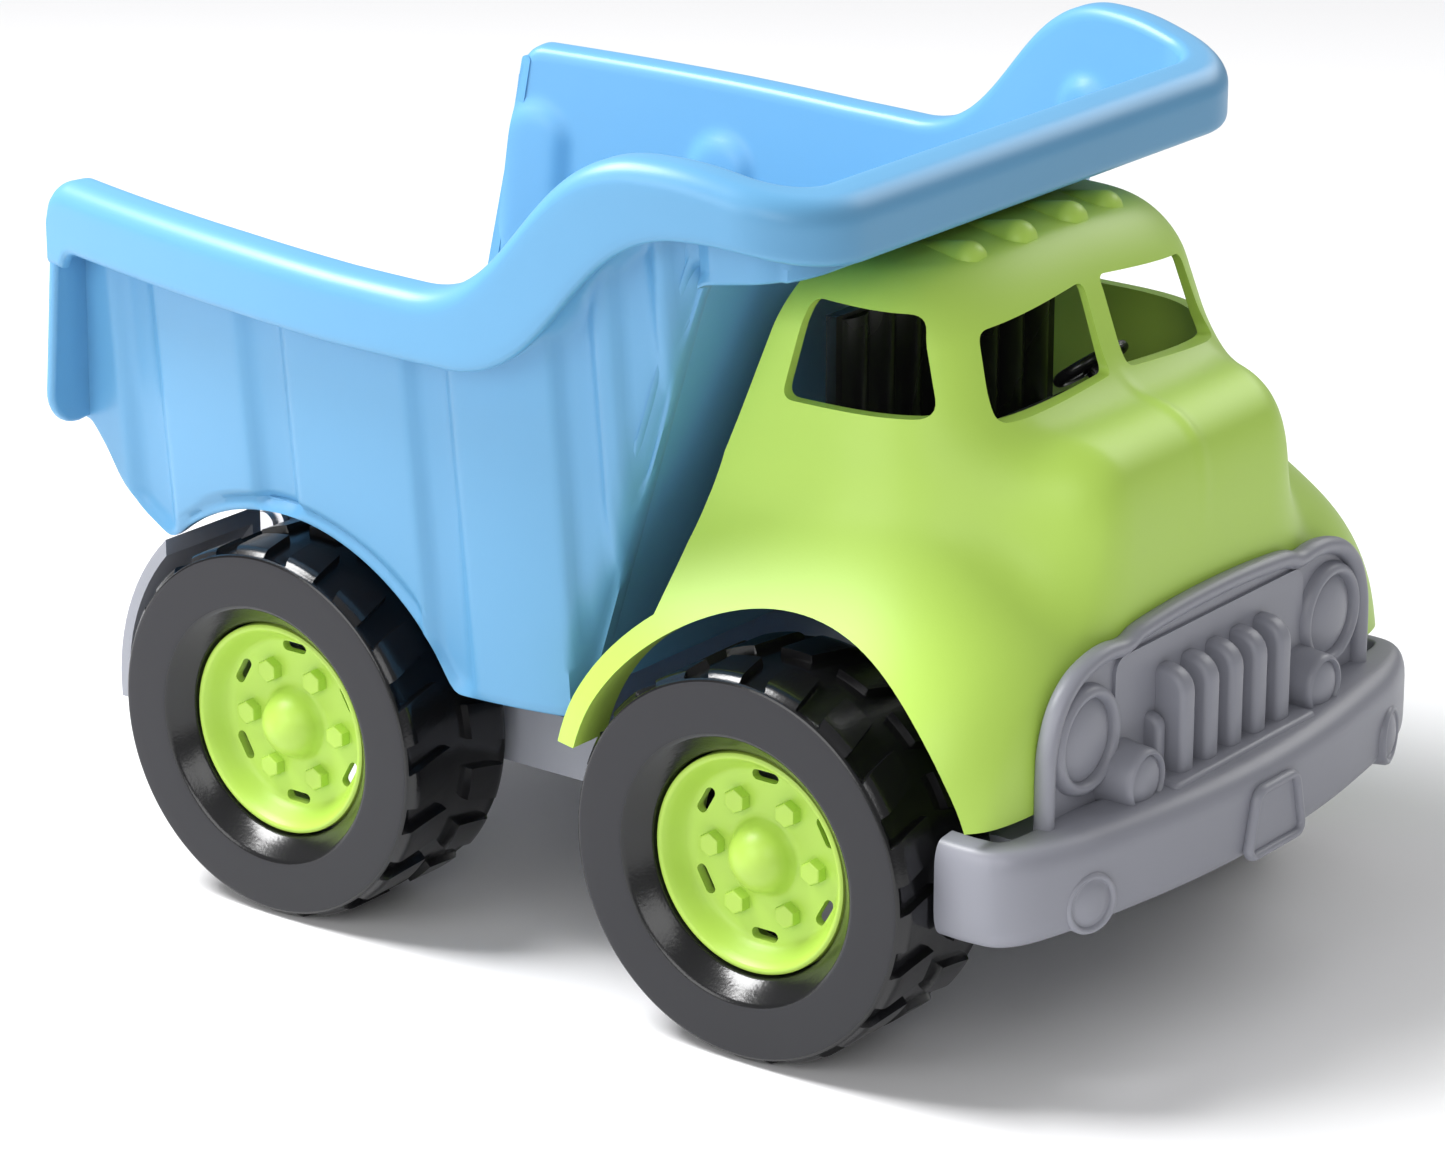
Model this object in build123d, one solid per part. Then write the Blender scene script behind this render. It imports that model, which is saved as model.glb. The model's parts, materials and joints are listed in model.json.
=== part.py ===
"""Toy dump truck: moulded cab, tipping bed and chassis on four hollow tyres.

Frame: +X is the truck's forward, +Y its left, +Z up. The origin is on the
ground under the middle of the overall length. All sizes are in millimetres.
"""
from build123d import *
from math import atan2, cos, radians, sin
import os

os.makedirs("parts", exist_ok=True)

# ---------------------------------------------------------------- overall
overall_length = 266.0      # bed's rear edge to the number-plate frame
front_overhang = 74.2       # front axle to the number-plate frame
wheelbase = 126.0
wheel_face_y = 87.8         # centreline to each tyre's outer face
wall = 2.6                  # moulded wall thickness of the big shells

# ---------------------------------------------------------------- wheels
tyre_radius = 41.5
tyre_width = 33.0
tyre_wall = 3.0
lug_count = 18
lug_height = 1.6
bead_radius = 23.8          # hole in the tyre that the hub sits in
bevel_radius = 28.6         # where the tyre's inner cone meets its flat face
hub_recess = 4.8            # hub lip behind the tyre's face
hub_dish_depth = 6.5        # hub's flat face behind its lip
hub_dish_radius = 17.0
hub_wall = 2.0
hub_barrel_length = 14.0
hub_dome_radius = 7.0
hub_boss_radius = 6.0
nut_across_flats = 4.4
nut_height = 2.2
nut_circle_radius = 12.4
slot_length = 6.5
slot_width = 2.2
slot_circle_radius = 17.2
axle_radius = 3.0
washer_radius = 6.5
washer_thickness = 1.0

# ---------------------------------------------------------------- chassis
deck_above_axle = 5.9       # top of the chassis deck above the axles
chassis_depth = 13.4
chassis_half_width = 52.2
chassis_rear_overhang = 47.0
mudguard_gap = 5.0          # between the tread and the rear mudguard
mudguard_outer_y = 80.0
saddle_thickness = 2.5
screw_radius = 1.5
screw_head_radius = 3.0
screw_head_height = 1.8
post_radius = 3.8

# ---------------------------------------------------------------- hinge
hinge_z = 68.0
hinge_behind_axle = 42.0
hinge_pin_radius = 3.0
hinge_ear_radius = 7.0
hinge_ear_width = 6.0
hinge_ear_y = 34.0          # centre of each chassis ear
clip_radius = 5.5
clip_thickness = 1.6

# ---------------------------------------------------------------- bed
rim_rear_z = 154.0
rim_dip_z = 150.0
rim_top_z = 184.0
rim_front_z = 178.0
rim_dip_setback = 83.0      # lowest place of the rim behind the front rim
rim_crest_setback = 28.0
rim_s_handle = 27.0
lip_depth = 15.0
lip_shift = 11.0            # how far the lip's lower edge trails the upper one
lip_width = 10.0            # lip's outer face beyond the wall's inner edge
bed_rear_half_width = 76.0
bed_mid_half_width = 84.6
bed_front_half_width = 74.7
canopy_overlap = 29.0       # inner edge of the front rim ahead of the cab's rear
bed_corner_radius = 12.0
bed_draft = 0.10            # walls lean in by this much for each unit of depth
bed_floor_z = 94.0          # floor's top
bed_skirt_z = 58.0
bed_rear_lean = 6.5         # rear edge's foot behind its top
bed_flange_z = 97.0
bed_wheel_gap = 6.0         # wheel arch's clearance over the tread

# ---------------------------------------------------------------- cab
cab_length = 80.4
nose_setback = 19.6         # cab's nose behind the number-plate frame
window_setback = 15.5       # side window's rear edge ahead of the cab's rear
window_length = 32.0
marker_tip_setback = 41.0
marker_length = 16.0
marker_ys = (-24.9, -9.3, 9.3, 24.9)
cab_roof_z = 158.5
cab_waist_z = 129.0
cab_hip_z = 99.0
cab_sill_z = 58.5
cab_roof_half_width = 45.0
cab_waist_half_width = 57.0
cab_hip_half_width = 72.0
fender_half_width = 86.0
fender_front_half_width = 59.0
hood_half_width = 36.0
hood_top_z = 122.5
marker_radius = 3.2
arch_radius = 46.5          # front wheel arch in the cab
arch_ahead = 4.2            # arch centre ahead of the axle
arch_above = 5.5            # arch centre above the axle
flare_thickness = 5.0

# ---------------------------------------------------------------- cab interior
bench_z = 106.0
bench_depth = 20.0
bench_half_width = 40.0
insert_foot_half = 20.0
insert_screw_setback = 39.0
insert_screw_y = 12.0
seat_top_z = 144.0
seat_rib_count = 8
seat_rib_pitch = 9.5
seat_rib_radius = 7.5
seat_rib_depth = 1.6
dash_setback = 31.4
dash_depth = 10.0
dash_top_z = 121.0
dash_half_width = 30.0
steering_y = 17.0
steering_radius = 7.5
steering_rim = 1.3
steering_rise = 4.0

# ---------------------------------------------------------------- fascia
fascia_top_z = 88.5
fascia_half_width = 60.0
bumper_low_z = 35.0
bumper_top_z = 55.5
bumper_half_width = 79.0
bumper_bow = 5.5            # how far its middle stands ahead of y = +-58
bumper_thickness = 12.0
headlight_y = 46.7
headlight_z = 70.2
headlight_radius = 10.8
fog_y = 34.4
fog_z = 58.5
fog_radius = 5.2
grille_bar_count = 5
grille_bar_pitch = 9.4
grille_bar_width = 4.6
plate_height = 15.0
plate_half_width = 9.2
plate_taper = 1.6
plate_rim = 1.6

# ---------------------------------------------------------------- fits
running_gap = 0.08          # radial, shaft in a plain bearing
slip_gap = 0.05             # radial, screws and pins in their own holes
side_gap = 0.5              # along an axle or a pin, between moving faces

# ---------------------------------------------------------------- worked out
front_x = overall_length / 2
rear_x = -overall_length / 2
front_axle_x = front_x - front_overhang
rear_axle_x = front_axle_x - wheelbase
axle_z = tyre_radius
tyre_back_y = wheel_face_y - tyre_width
deck_z = axle_z + deck_above_axle
cab_nose_x = front_x - nose_setback
cab_rear_x = cab_nose_x - cab_length
dash_x = cab_nose_x - dash_setback
insert_screw_x = cab_rear_x + insert_screw_setback
bed_front_x = cab_rear_x + canopy_overlap
rim_crest_x = bed_front_x - rim_crest_setback
rim_dip_x = bed_front_x - rim_dip_setback
chassis_low_z = deck_z - chassis_depth
chassis_rear_x = rear_axle_x - chassis_rear_overhang
hinge_x = rear_axle_x - hinge_behind_axle
hub_lip_y = wheel_face_y - hub_recess
hub_web_y = hub_lip_y - hub_dish_depth
boss_end_y = chassis_half_width + side_gap + washer_thickness
axle_end_y = hub_web_y - hub_wall + 1.0


def box(x0, x1, y0, y1, z0, z1):
    """A box between two corners."""
    return Pos((x0 + x1) / 2, (y0 + y1) / 2, (z0 + z1) / 2) * Box(x1 - x0, y1 - y0, z1 - z0)


def rod_y(radius, y0, y1, x=0.0, z=0.0):
    """A cylinder along Y."""
    return Pos(x, (y0 + y1) / 2, z) * Rot(90, 0, 0) * Cylinder(radius, abs(y1 - y0))


def rod_x(radius, x0, x1, y=0.0, z=0.0):
    """A cylinder along X."""
    return Pos((x0 + x1) / 2, y, z) * Rot(0, 90, 0) * Cylinder(radius, abs(x1 - x0))


def rod_z(radius, z0, z1, x=0.0, y=0.0):
    """A cylinder along Z."""
    return Pos(x, y, (z0 + z1) / 2) * Cylinder(radius, z1 - z0)


def domed_rod(radius, x0, x_edge, x_tip, y=0.0, z=0.0):
    """A rod along X whose front end is a ball-shaped dome, from its edge to its tip."""
    rise = x_tip - x_edge
    ball = (radius ** 2 + rise ** 2) / (2 * rise)
    centre = x_tip - ball
    half_turn = atan2(radius, x_edge - centre) / 2
    crown = (centre + ball * cos(half_turn), ball * sin(half_turn))
    outline = make_face([Line((x0, 0), (x0, radius)), Line((x0, radius), (x_edge, radius)),
                         ThreePointArc((x_edge, radius), crown, (x_tip, 0)), Line((x_tip, 0), (x0, 0))])
    return Pos(0, y, z) * revolve(outline, axis=Axis.X)


def side_prism(points, y0, y1):
    """A closed outline of (x, z) points, extruded from y0 to y1."""
    outline = make_face(Polyline(*[(x, y0, z) for x, z in points], close=True))
    return extrude(outline, amount=y1 - y0, dir=(0, 1, 0))


def front_prism(points, x0, x1):
    """A closed outline of (y, z) points, extruded from x0 to x1."""
    outline = make_face(Polyline(*[(x0, y, z) for y, z in points], close=True))
    return extrude(outline, amount=x1 - x0, dir=(1, 0, 0))


def mirrored(solid):
    """The same solid on the truck's other side."""
    return mirror(solid, about=Plane.XZ)


def save(name, shape):
    """Write one node's solids to its own file."""
    solids = shape.solids()
    kept = solids[0] if len(solids) == 1 else Compound(children=solids)
    export_step(kept, "parts/" + name + ".step")


# ================================================================ wheels
def ring_face(profile):
    """A section in the plane x = 0, as (radius, y) points, spun about the axle."""
    outline = make_face(Polyline(*[(0, y, r) for r, y in profile], close=True))
    return revolve(outline, axis=Axis.Y)


def lug_ring(y0, y1, turn):
    """A row of saw-tooth lugs round the tread, from y0 to y1."""
    points = []
    for lug in range(lug_count):
        start = radians(-90 + turn + 360 * lug / lug_count)
        end = start + radians(360 / lug_count)
        points.append((tyre_radius * cos(start), tyre_radius * sin(start)))
        low = tyre_radius - lug_height
        points.append((low * cos(end), low * sin(end)))
    row = side_prism(points, y0, y1)
    return row - rod_y(tyre_radius - lug_height - 2.0, y0 - 1, y1 + 1)


def tyre():
    """One left-hand tyre about the Y axis: face outwards at +Y, open at its back."""
    face = wheel_face_y
    back = tyre_back_y
    middle = (face + back) / 2
    crown = tyre_radius - lug_height
    shoulder = crown - 0.6
    solid = ring_face([(bevel_radius, face), (shoulder - 1.0, face), (shoulder, face - 1.0),
                       (shoulder, back), (bead_radius, back), (bead_radius, face - hub_recess)])
    solid += lug_ring(middle + 1.0, face - 1.2, 0)
    solid += lug_ring(back + 0.4, middle - 1.0, 180 / lug_count)
    bead_back = face - hub_recess - hub_barrel_length
    hollow = ring_face([(bead_radius + tyre_wall, face - hub_recess - tyre_wall),
                        (bevel_radius + tyre_wall, face - tyre_wall), (shoulder - tyre_wall, face - tyre_wall),
                        (shoulder - tyre_wall, back - 1), (bead_radius + tyre_wall, back - 1)])
    solid -= hollow
    solid -= rod_y(bead_radius + tyre_wall + 1, back - 1, bead_back)
    return solid


def hub():
    """One left-hand hub about the Y axis, dished, with a dome, nuts and slots."""
    lip = hub_lip_y
    web = hub_web_y
    rim = bead_radius - slip_gap
    solid = ring_face([(0, web), (hub_dish_radius, web), (rim - hub_wall, lip), (rim, lip),
                       (rim, lip - hub_barrel_length), (rim - hub_wall, lip - hub_barrel_length),
                       (rim - hub_wall, web - hub_wall), (0, web - hub_wall)])
    solid += rod_y(hub_boss_radius, boss_end_y, web)
    dome = Pos(0, web, 0) * Sphere(hub_dome_radius)
    solid += dome & box(-20, 20, web - hub_wall, web + 20, -20, 20)
    for place in range(6):
        turn = Rot(0, 60 * place, 0)
        nut = extrude(RegularPolygon(nut_across_flats / 2, 6, major_radius=False), nut_height + hub_wall / 2)
        solid += turn * Pos(0, web - hub_wall / 2, nut_circle_radius) * Rot(-90, 0, 0) * nut
    for place in range(6):
        turn = Rot(0, 60 * place + 30, 0)
        slot = extrude(SlotOverall(slot_length, slot_width), 4 * hub_wall)
        solid -= turn * Pos(0, web - 2 * hub_wall, slot_circle_radius) * Rot(-90, 0, 0) * slot
    solid -= rod_y(axle_radius, boss_end_y - 1, axle_end_y)
    return solid


def wheelset(x, name, names):
    """An axle with its two wheels and washers, moved to its place."""
    place = Pos(x, 0, axle_z)
    left_tyre = tyre()
    left_hub = hub()
    save(names[0] + "_tyre", place * left_tyre)
    save(names[1] + "_tyre", place * mirrored(left_tyre))
    save(names[0] + "_hub", place * left_hub)
    save(names[1] + "_hub", place * mirrored(left_hub))
    save(name + "_axle", place * rod_y(axle_radius, -axle_end_y, axle_end_y))
    inner = chassis_half_width + side_gap
    washer = rod_y(washer_radius, inner, inner + washer_thickness)
    washer -= rod_y(axle_radius + slip_gap, inner - 1, inner + washer_thickness + 1)
    save(name + "_wheel_washers", place * Compound(children=[washer, mirrored(washer)]))


# ================================================================ chassis
def screw(x, y, head_z, length):
    """A pan-head screw driven upwards, its head's top at head_z."""
    head = rod_z(screw_head_radius, head_z - screw_head_height, head_z, x, y)
    drive = rod_z(0.9, head_z - screw_head_height - 1, head_z - 0.8, x, y)
    return head - drive + rod_z(screw_radius, head_z, head_z + length, x, y)


def hole_for(x, y, z0, z1):
    """The hole that a screw's shank sits in."""
    return rod_z(screw_radius + slip_gap, z0, z1, x, y)


saddle_low_z = chassis_low_z - saddle_thickness
saddle_screw_offset = 16.0
saddle_half_length = saddle_screw_offset + 5.0
saddle_half_width = chassis_half_width - 3.0
bearing_half_length = axle_radius + 5.0
bearing_inner_y = chassis_half_width - 10.0
cab_leg_y = 42.0
cab_leg_x = cab_rear_x + 6.0
cab_front_post_x = cab_nose_x - 24.0
cab_front_post_y = 26.0
chassis_front_x = cab_nose_x - 4.0
fascia_screw_y = 16.0
fascia_tab_x = chassis_front_x - 6.0


def chassis():
    """An open-bottomed tray with bearing blocks, hinge ears and rear mudguards."""
    half = chassis_half_width
    tray = box(chassis_rear_x, chassis_front_x, -half, half, chassis_low_z, deck_z)
    inside = box(chassis_rear_x + wall, chassis_front_x - wall, -half + wall, half - wall,
                 chassis_low_z - 1, deck_z - wall)
    solid = tray - inside
    for x in (front_axle_x, rear_axle_x):
        for side in (-1, 1):
            y_in = side * bearing_inner_y
            y_out = side * (half - 1)
            solid += box(x - bearing_half_length, x + bearing_half_length, min(y_in, y_out),
                         max(y_in, y_out), chassis_low_z, deck_z - 1)
            solid += rod_z(post_radius, chassis_low_z, deck_z - 1, x + side * saddle_screw_offset, 0)
        bore = axle_radius + running_gap
        solid -= rod_y(bore, -half - 1, half + 1, x, axle_z)
        solid -= box(x - bore, x + bore, -half - 1, half + 1, chassis_low_z - 1, axle_z)
        for side in (-1, 1):
            solid -= hole_for(x + side * saddle_screw_offset, 0, chassis_low_z - 1, deck_z - wall)
    solid += hinge_ears()
    solid -= rod_y(hinge_pin_radius + slip_gap, -half, half, hinge_x, hinge_z)
    guard = mudguard()
    solid += guard
    solid += mirrored(guard)
    for x, y in cab_screw_places():
        solid -= hole_for(x, y, deck_z - wall - 1, deck_z + 1)
    for side in (-1, 1):
        solid -= hole_for(fascia_tab_x, side * fascia_screw_y, deck_z - wall - 1, deck_z + 1)
        solid -= hole_for(insert_screw_x, side * insert_screw_y, deck_z - wall - 1, deck_z + 1)
    return solid


def hinge_ears():
    """Two upright ears on the deck that carry the bed's hinge pin."""
    ears = None
    for side in (-1, 1):
        y0 = side * hinge_ear_y - hinge_ear_width / 2
        y1 = y0 + hinge_ear_width
        ear = side_prism([(hinge_x - hinge_ear_radius, hinge_z), (hinge_x - hinge_ear_radius, deck_z - 1),
                          (hinge_x + 2.2 * hinge_ear_radius, deck_z - 1),
                          (hinge_x + hinge_ear_radius, hinge_z)], y0, y1)
        ear += rod_y(hinge_ear_radius, y0, y1, hinge_x, hinge_z)
        ears = ear if ears is None else ears + ear
    return ears


def mudguard():
    """The left rear mudguard: a curved plate behind the tyre and the web that holds it."""
    inner = tyre_radius + mudguard_gap
    outer = inner + wall
    y_in = chassis_half_width - wall
    band = rod_y(outer, y_in, mudguard_outer_y, rear_axle_x, axle_z)
    band -= rod_y(inner, y_in - 1, mudguard_outer_y + 1, rear_axle_x, axle_z)
    web = rod_y(outer, y_in, chassis_half_width, rear_axle_x, axle_z)
    high = outer * sin(radians(46))
    keep = box(rear_axle_x - outer - 1, rear_axle_x - outer * cos(radians(46)), y_in - 1,
               mudguard_outer_y + 1, axle_z - 4, axle_z + high)
    return (band + web) & keep


def saddle(x):
    """The plate under one axle, with a tongue up into each bearing's slot."""
    plate = box(x - saddle_half_length, x + saddle_half_length, -saddle_half_width, saddle_half_width,
                saddle_low_z, chassis_low_z)
    tongue_half = axle_radius - 0.2
    for side in (-1, 1):
        y_in = side * (bearing_inner_y + 1)
        y_out = side * saddle_half_width
        plate += box(x - tongue_half, x + tongue_half, min(y_in, y_out), max(y_in, y_out),
                     chassis_low_z - 1, axle_z - axle_radius - running_gap)
    for side in (-1, 1):
        plate -= hole_for(x + side * saddle_screw_offset, 0, saddle_low_z - 1, chassis_low_z + 1)
    return plate


def cab_screw_places():
    """The four screws that hold the cab down, as (x, y)."""
    return [(cab_leg_x, cab_leg_y), (cab_leg_x, -cab_leg_y),
            (cab_front_post_x, cab_front_post_y), (cab_front_post_x, -cab_front_post_y)]


# ================================================================ bed
def rim_curve(shift_x, drop):
    """The rim's side profile as edges in the plane y = 0, moved on and down."""
    def at(x, z):
        return (x + shift_x, 0, z - drop)
    start = at(rear_x - 40, rim_rear_z + 0.04 * 34)
    dip = at(rim_dip_x, rim_dip_z)
    crest = at(rim_crest_x, rim_top_z)
    front = at(bed_front_x + 24, rim_front_z)
    fall = Line(start, dip)
    s_curve = Bezier(dip, at(rim_dip_x + rim_s_handle, rim_dip_z), at(rim_crest_x - rim_s_handle, rim_top_z),
                     crest)
    nose = Bezier(crest, at(rim_crest_x + 17, rim_top_z), at(bed_front_x - 4, rim_front_z), front)
    return [fall, s_curve, nose]


def below_rim(shift_x, drop):
    """Everything under the rim's profile, as a wide prism."""
    edges = rim_curve(shift_x, drop)
    start = edges[0] @ 0
    end = edges[-1] @ 1
    low = 20.0
    closing = Polyline(end, (end.X, 0, low), (start.X, 0, low), start)
    outline = make_face(edges + list(closing.edges()))
    half = 2 * bed_mid_half_width
    return Pos(0, half, 0) * extrude(outline, amount=2 * half, dir=(0, -1, 0))


def bed_front_at(z):
    """Where the front wall's inside is at a height."""
    foot_x = 10.0
    knee_x = 44.0
    knee_z = cab_roof_z + 3.0
    if z <= knee_z:
        return foot_x + (knee_x - foot_x) * (z - bed_skirt_z) / (knee_z - bed_skirt_z)
    return min(bed_front_x, knee_x + (bed_front_x - knee_x) * (z - knee_z) / 8.0)


def bed_plan(z, offset):
    """The bed's outline at one height, grown or shrunk by an offset."""
    lean = bed_draft * (rim_top_z - z)
    rear = rear_x - 4
    w_rear = bed_rear_half_width - lean + offset
    w_mid = bed_mid_half_width - lean + offset
    w_front = bed_front_half_width - lean + offset
    x_front = bed_front_at(z) + offset
    r = bed_corner_radius + offset
    x_corner = x_front - r
    bend = r * sin(radians(45))
    left = ThreePointArc((rear, w_rear, z), (rim_dip_x - 12, w_mid, z), (x_corner, w_front, z))
    left_corner = ThreePointArc((x_corner, w_front, z), (x_corner + bend, w_front - r + bend, z),
                                (x_front, w_front - r, z))
    nose = Line((x_front, w_front - r, z), (x_front, r - w_front, z))
    right_corner = ThreePointArc((x_front, r - w_front, z), (x_corner + bend, r - w_front - bend, z),
                                 (x_corner, -w_front, z))
    right = ThreePointArc((x_corner, -w_front, z), (rim_dip_x - 12, -w_mid, z), (rear, -w_rear, z))
    back = Line((rear, -w_rear, z), (rear, w_rear, z))
    return make_face([left, left_corner, nose, right_corner, right, back])


def bed_block(offset):
    """The tub's volume, from under its skirt to over its rim."""
    knee_z = cab_roof_z + 3.0
    levels = [bed_skirt_z - 10, knee_z, knee_z + 8.0, rim_top_z + 6.0]
    block = None
    for low, high in zip(levels, levels[1:]):
        part = loft([bed_plan(low, offset), bed_plan(high, offset)], ruled=True)
        block = part if block is None else block + part
    return block


def rear_x_at(z):
    """The rear edge's place at a height: it leans back towards its foot."""
    return rear_x + bed_rear_lean * (z - bed_flange_z) / (rim_rear_z - bed_flange_z)


def ahead_of_rear_edge():
    """Everything ahead of the leaning rear edge."""
    return side_prism([(rear_x_at(20), 20), (rear_x_at(220), 220), (160, 220), (160, 20)],
                      -2 * bed_mid_half_width, 2 * bed_mid_half_width)


def bed():
    """The tipping bed: tapered walls, floor, down-turned lip, skirts and hinge lugs."""
    wide = 2 * bed_mid_half_width
    outer = bed_block(wall)
    inner = bed_block(0)
    top = below_rim(0, 0)
    over_floor = box(rear_x - 40, 120, -wide, wide, bed_floor_z, 230)
    under_floor = box(rear_x - 40, 120, -wide, wide, 20, bed_floor_z - wall)
    tub = outer & top
    tub -= inner & over_floor
    tub -= inner & under_floor
    tub -= box(rear_x - 60, 100, -wide, wide, 0, bed_skirt_z)
    arch_r = tyre_radius + bed_wheel_gap
    under_floor = box(-300, 300, -wide, wide, 0, bed_floor_z - 2 * wall)
    tub -= rod_y(arch_r, -wide, wide, rear_axle_x, axle_z) & under_floor
    tail_x = rear_axle_x - arch_r * cos(radians(50))
    tub -= side_prism([(rear_x - 60, 20), (rear_x - 60, bed_flange_z), (rear_x + 8, bed_flange_z),
                       (rear_x + 14, bed_flange_z - 10), (rear_x + 24, bed_flange_z - 19),
                       (tail_x, axle_z + arch_r * sin(radians(50))), (rear_axle_x - 6, 20)], -wide, wide)
    lip_outer = extrude(bed_plan(rim_top_z, lip_width), amount=80, dir=(0, 0, -1))
    lip_inner = extrude(bed_plan(rim_top_z, lip_width - wall), amount=90, dir=(0, 0, -1))
    lip_outer = Pos(0, 0, 20) * lip_outer
    lip_inner = Pos(0, 0, 25) * lip_inner
    lower = below_rim(lip_shift, lip_depth)
    skirt = (lip_outer - lip_inner) & (top - lower)
    roof = (lip_outer & (top - below_rim(0, wall))) - inner
    rear_plate = side_prism([(rear_x_at(bed_flange_z), bed_flange_z), (rear_x_at(200), 200),
                             (rear_x_at(200) + wall, 200), (rear_x_at(bed_flange_z) + wall, bed_flange_z)],
                            -wide, wide)
    flange = (lip_outer & rear_plate & top) - inner
    solid = (tub + skirt + roof + flange) & ahead_of_rear_edge()
    for side in (-1, 1):
        y0 = side * (hinge_ear_y - hinge_ear_width - side_gap) - hinge_ear_width / 2
        y1 = y0 + hinge_ear_width
        lug_top = bed_floor_z - wall / 2
        lug = side_prism([(hinge_x - hinge_ear_radius, hinge_z), (hinge_x - hinge_ear_radius, lug_top),
                          (hinge_x + 2 * hinge_ear_radius, lug_top),
                          (hinge_x + hinge_ear_radius, hinge_z)], y0, y1)
        lug += rod_y(hinge_ear_radius, y0, y1, hinge_x, hinge_z)
        solid += lug
    solid -= rod_y(hinge_pin_radius + running_gap, -wide, wide, hinge_x, hinge_z)
    return solid


# ================================================================ cab
def rounded_plan(x0, x1, half, radius, z):
    """A level rectangle with rounded corners."""
    return Pos((x0 + x1) / 2, 0, z) * RectangleRounded(x1 - x0, 2 * half, radius)


def cab_block(inset):
    """The cab's volume with every outside face moved in by an inset."""
    rear = cab_rear_x - 1 + inset
    hip = rounded_plan(rear, cab_nose_x - 8 - inset, cab_hip_half_width - inset, 22 - inset, cab_hip_z - 12)
    waist_half = cab_waist_half_width - inset
    waist = rounded_plan(rear + 4, cab_nose_x - 22 - inset, waist_half, 18 - inset, cab_waist_z)
    eaves = rounded_plan(rear + 11, cab_nose_x - 30 - inset, cab_roof_half_width + 6 - inset, 16 - inset,
                         cab_roof_z - 9)
    roof = rounded_plan(rear + 14, cab_nose_x - 42 - inset, cab_roof_half_width - 6 - inset, 12 - inset,
                        cab_roof_z - inset)
    house = loft([hip, waist], ruled=True) + loft([waist, eaves], ruled=True) + loft([eaves, roof], ruled=True)
    hood = box(cab_rear_x + 20, cab_nose_x - inset, -hood_half_width + inset, hood_half_width - inset,
               cab_sill_z, hood_top_z - inset)
    hood = fillet(hood.edges().filter_by(Axis.Z).sort_by(Axis.X)[-2:], 18 - inset)
    hood = fillet(hood.faces().sort_by(Axis.Z)[-1].edges(), 12 - inset)
    hip = cab_hip_z - inset
    steps = [(0.0, cab_sill_z), (0.0, hip - 16), (4.0, hip - 5), (15.0, hip)]
    body = None
    for (in_low, z_low), (in_high, z_high) in zip(steps, steps[1:]):
        layer = loft([fender_plan(inset + in_low, z_low), fender_plan(inset + in_high, z_high)], ruled=True)
        body = layer if body is None else body + layer
    return house + hood + body


def fender_plan(inset, z):
    """The lower body's outline at one height: straight flanks, drawn in to the nose."""
    half = fender_half_width - inset
    nose_half = fender_front_half_width - inset
    x_rear = front_axle_x + arch_ahead - arch_radius - flare_thickness + inset
    x_bend = front_axle_x + 8.0
    x_nose = cab_nose_x - 2 - inset
    x_mid = (x_bend + x_nose) / 2 + 6
    y_mid = half - 7
    nose = Line((x_nose, nose_half, z), (x_nose, -nose_half, z))
    right = ThreePointArc((x_nose, -nose_half, z), (x_mid, -y_mid, z), (x_bend, -half, z))
    rear = Polyline((x_bend, -half, z), (x_rear, -half, z), (x_rear, half, z), (x_bend, half, z))
    left = ThreePointArc((x_bend, half, z), (x_mid, y_mid, z), (x_nose, nose_half, z))
    return make_face([nose, right] + list(rear.edges()) + [left])


def cab():
    """The hollow cab with its windows, wheel arches, marker lamps and screw posts."""
    wide = 2 * fender_half_width
    arch_x = front_axle_x + arch_ahead
    arch_z = axle_z + arch_above
    shell = cab_block(0)
    shell -= cab_block(wall) + box(cab_rear_x - 40, cab_nose_x - 2 - wall, -60, 60, 0, cab_hip_z - 20)
    shell -= box(-100, 300, -wide, wide, 0, cab_sill_z)
    shell -= rod_y(arch_radius, -wide, wide, arch_x, arch_z)
    flare_r = arch_radius + flare_thickness
    behind = box(-100, cab_rear_x - 1, -wide, wide, 0, 200)
    shell -= behind - rod_y(flare_r, -wide, wide, arch_x, arch_z)
    shell -= box(-100, cab_rear_x - 1, -chassis_half_width - 14, chassis_half_width + 14, 0, 200)
    opening_half = chassis_half_width - 6
    shell -= box(cab_rear_x - 5, cab_rear_x + 18, -opening_half, opening_half, 0, cab_waist_z)
    back = cab_rear_x + window_setback
    front = back + window_length
    window = [(back, cab_waist_z + 2), (back + 3, cab_roof_z - 9), (front - 7.5, cab_roof_z - 10.5),
              (front - 4.5, cab_roof_z - 13), (front, cab_waist_z + 5)]
    shell -= side_prism(window, 30, wide) + side_prism(window, -wide, -30)
    for side in (-1, 1):
        pane = [(side * 3.6, cab_waist_z + 3), (side * 3.6, cab_roof_z - 10.5),
                (side * 35.5, cab_roof_z - 13.5), (side * 37, cab_waist_z)]
        shell -= front_prism(pane, cab_nose_x - 43.4, cab_nose_x - 3.4) - hood_cover()
    marker_x = cab_rear_x + marker_tip_setback
    marker_z = cab_roof_z - 3.5
    for y in marker_ys:
        lamp = domed_rod(marker_radius, marker_x - marker_length, marker_x - 3, marker_x, y, marker_z)
        shell += lamp - cab_block(wall / 2)
    return shell + cab_posts()


def hood_cover():
    """Keeps the windscreen's cut above the hood."""
    return box(0, 200, -100, 100, 0, cab_waist_z - 2)


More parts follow.
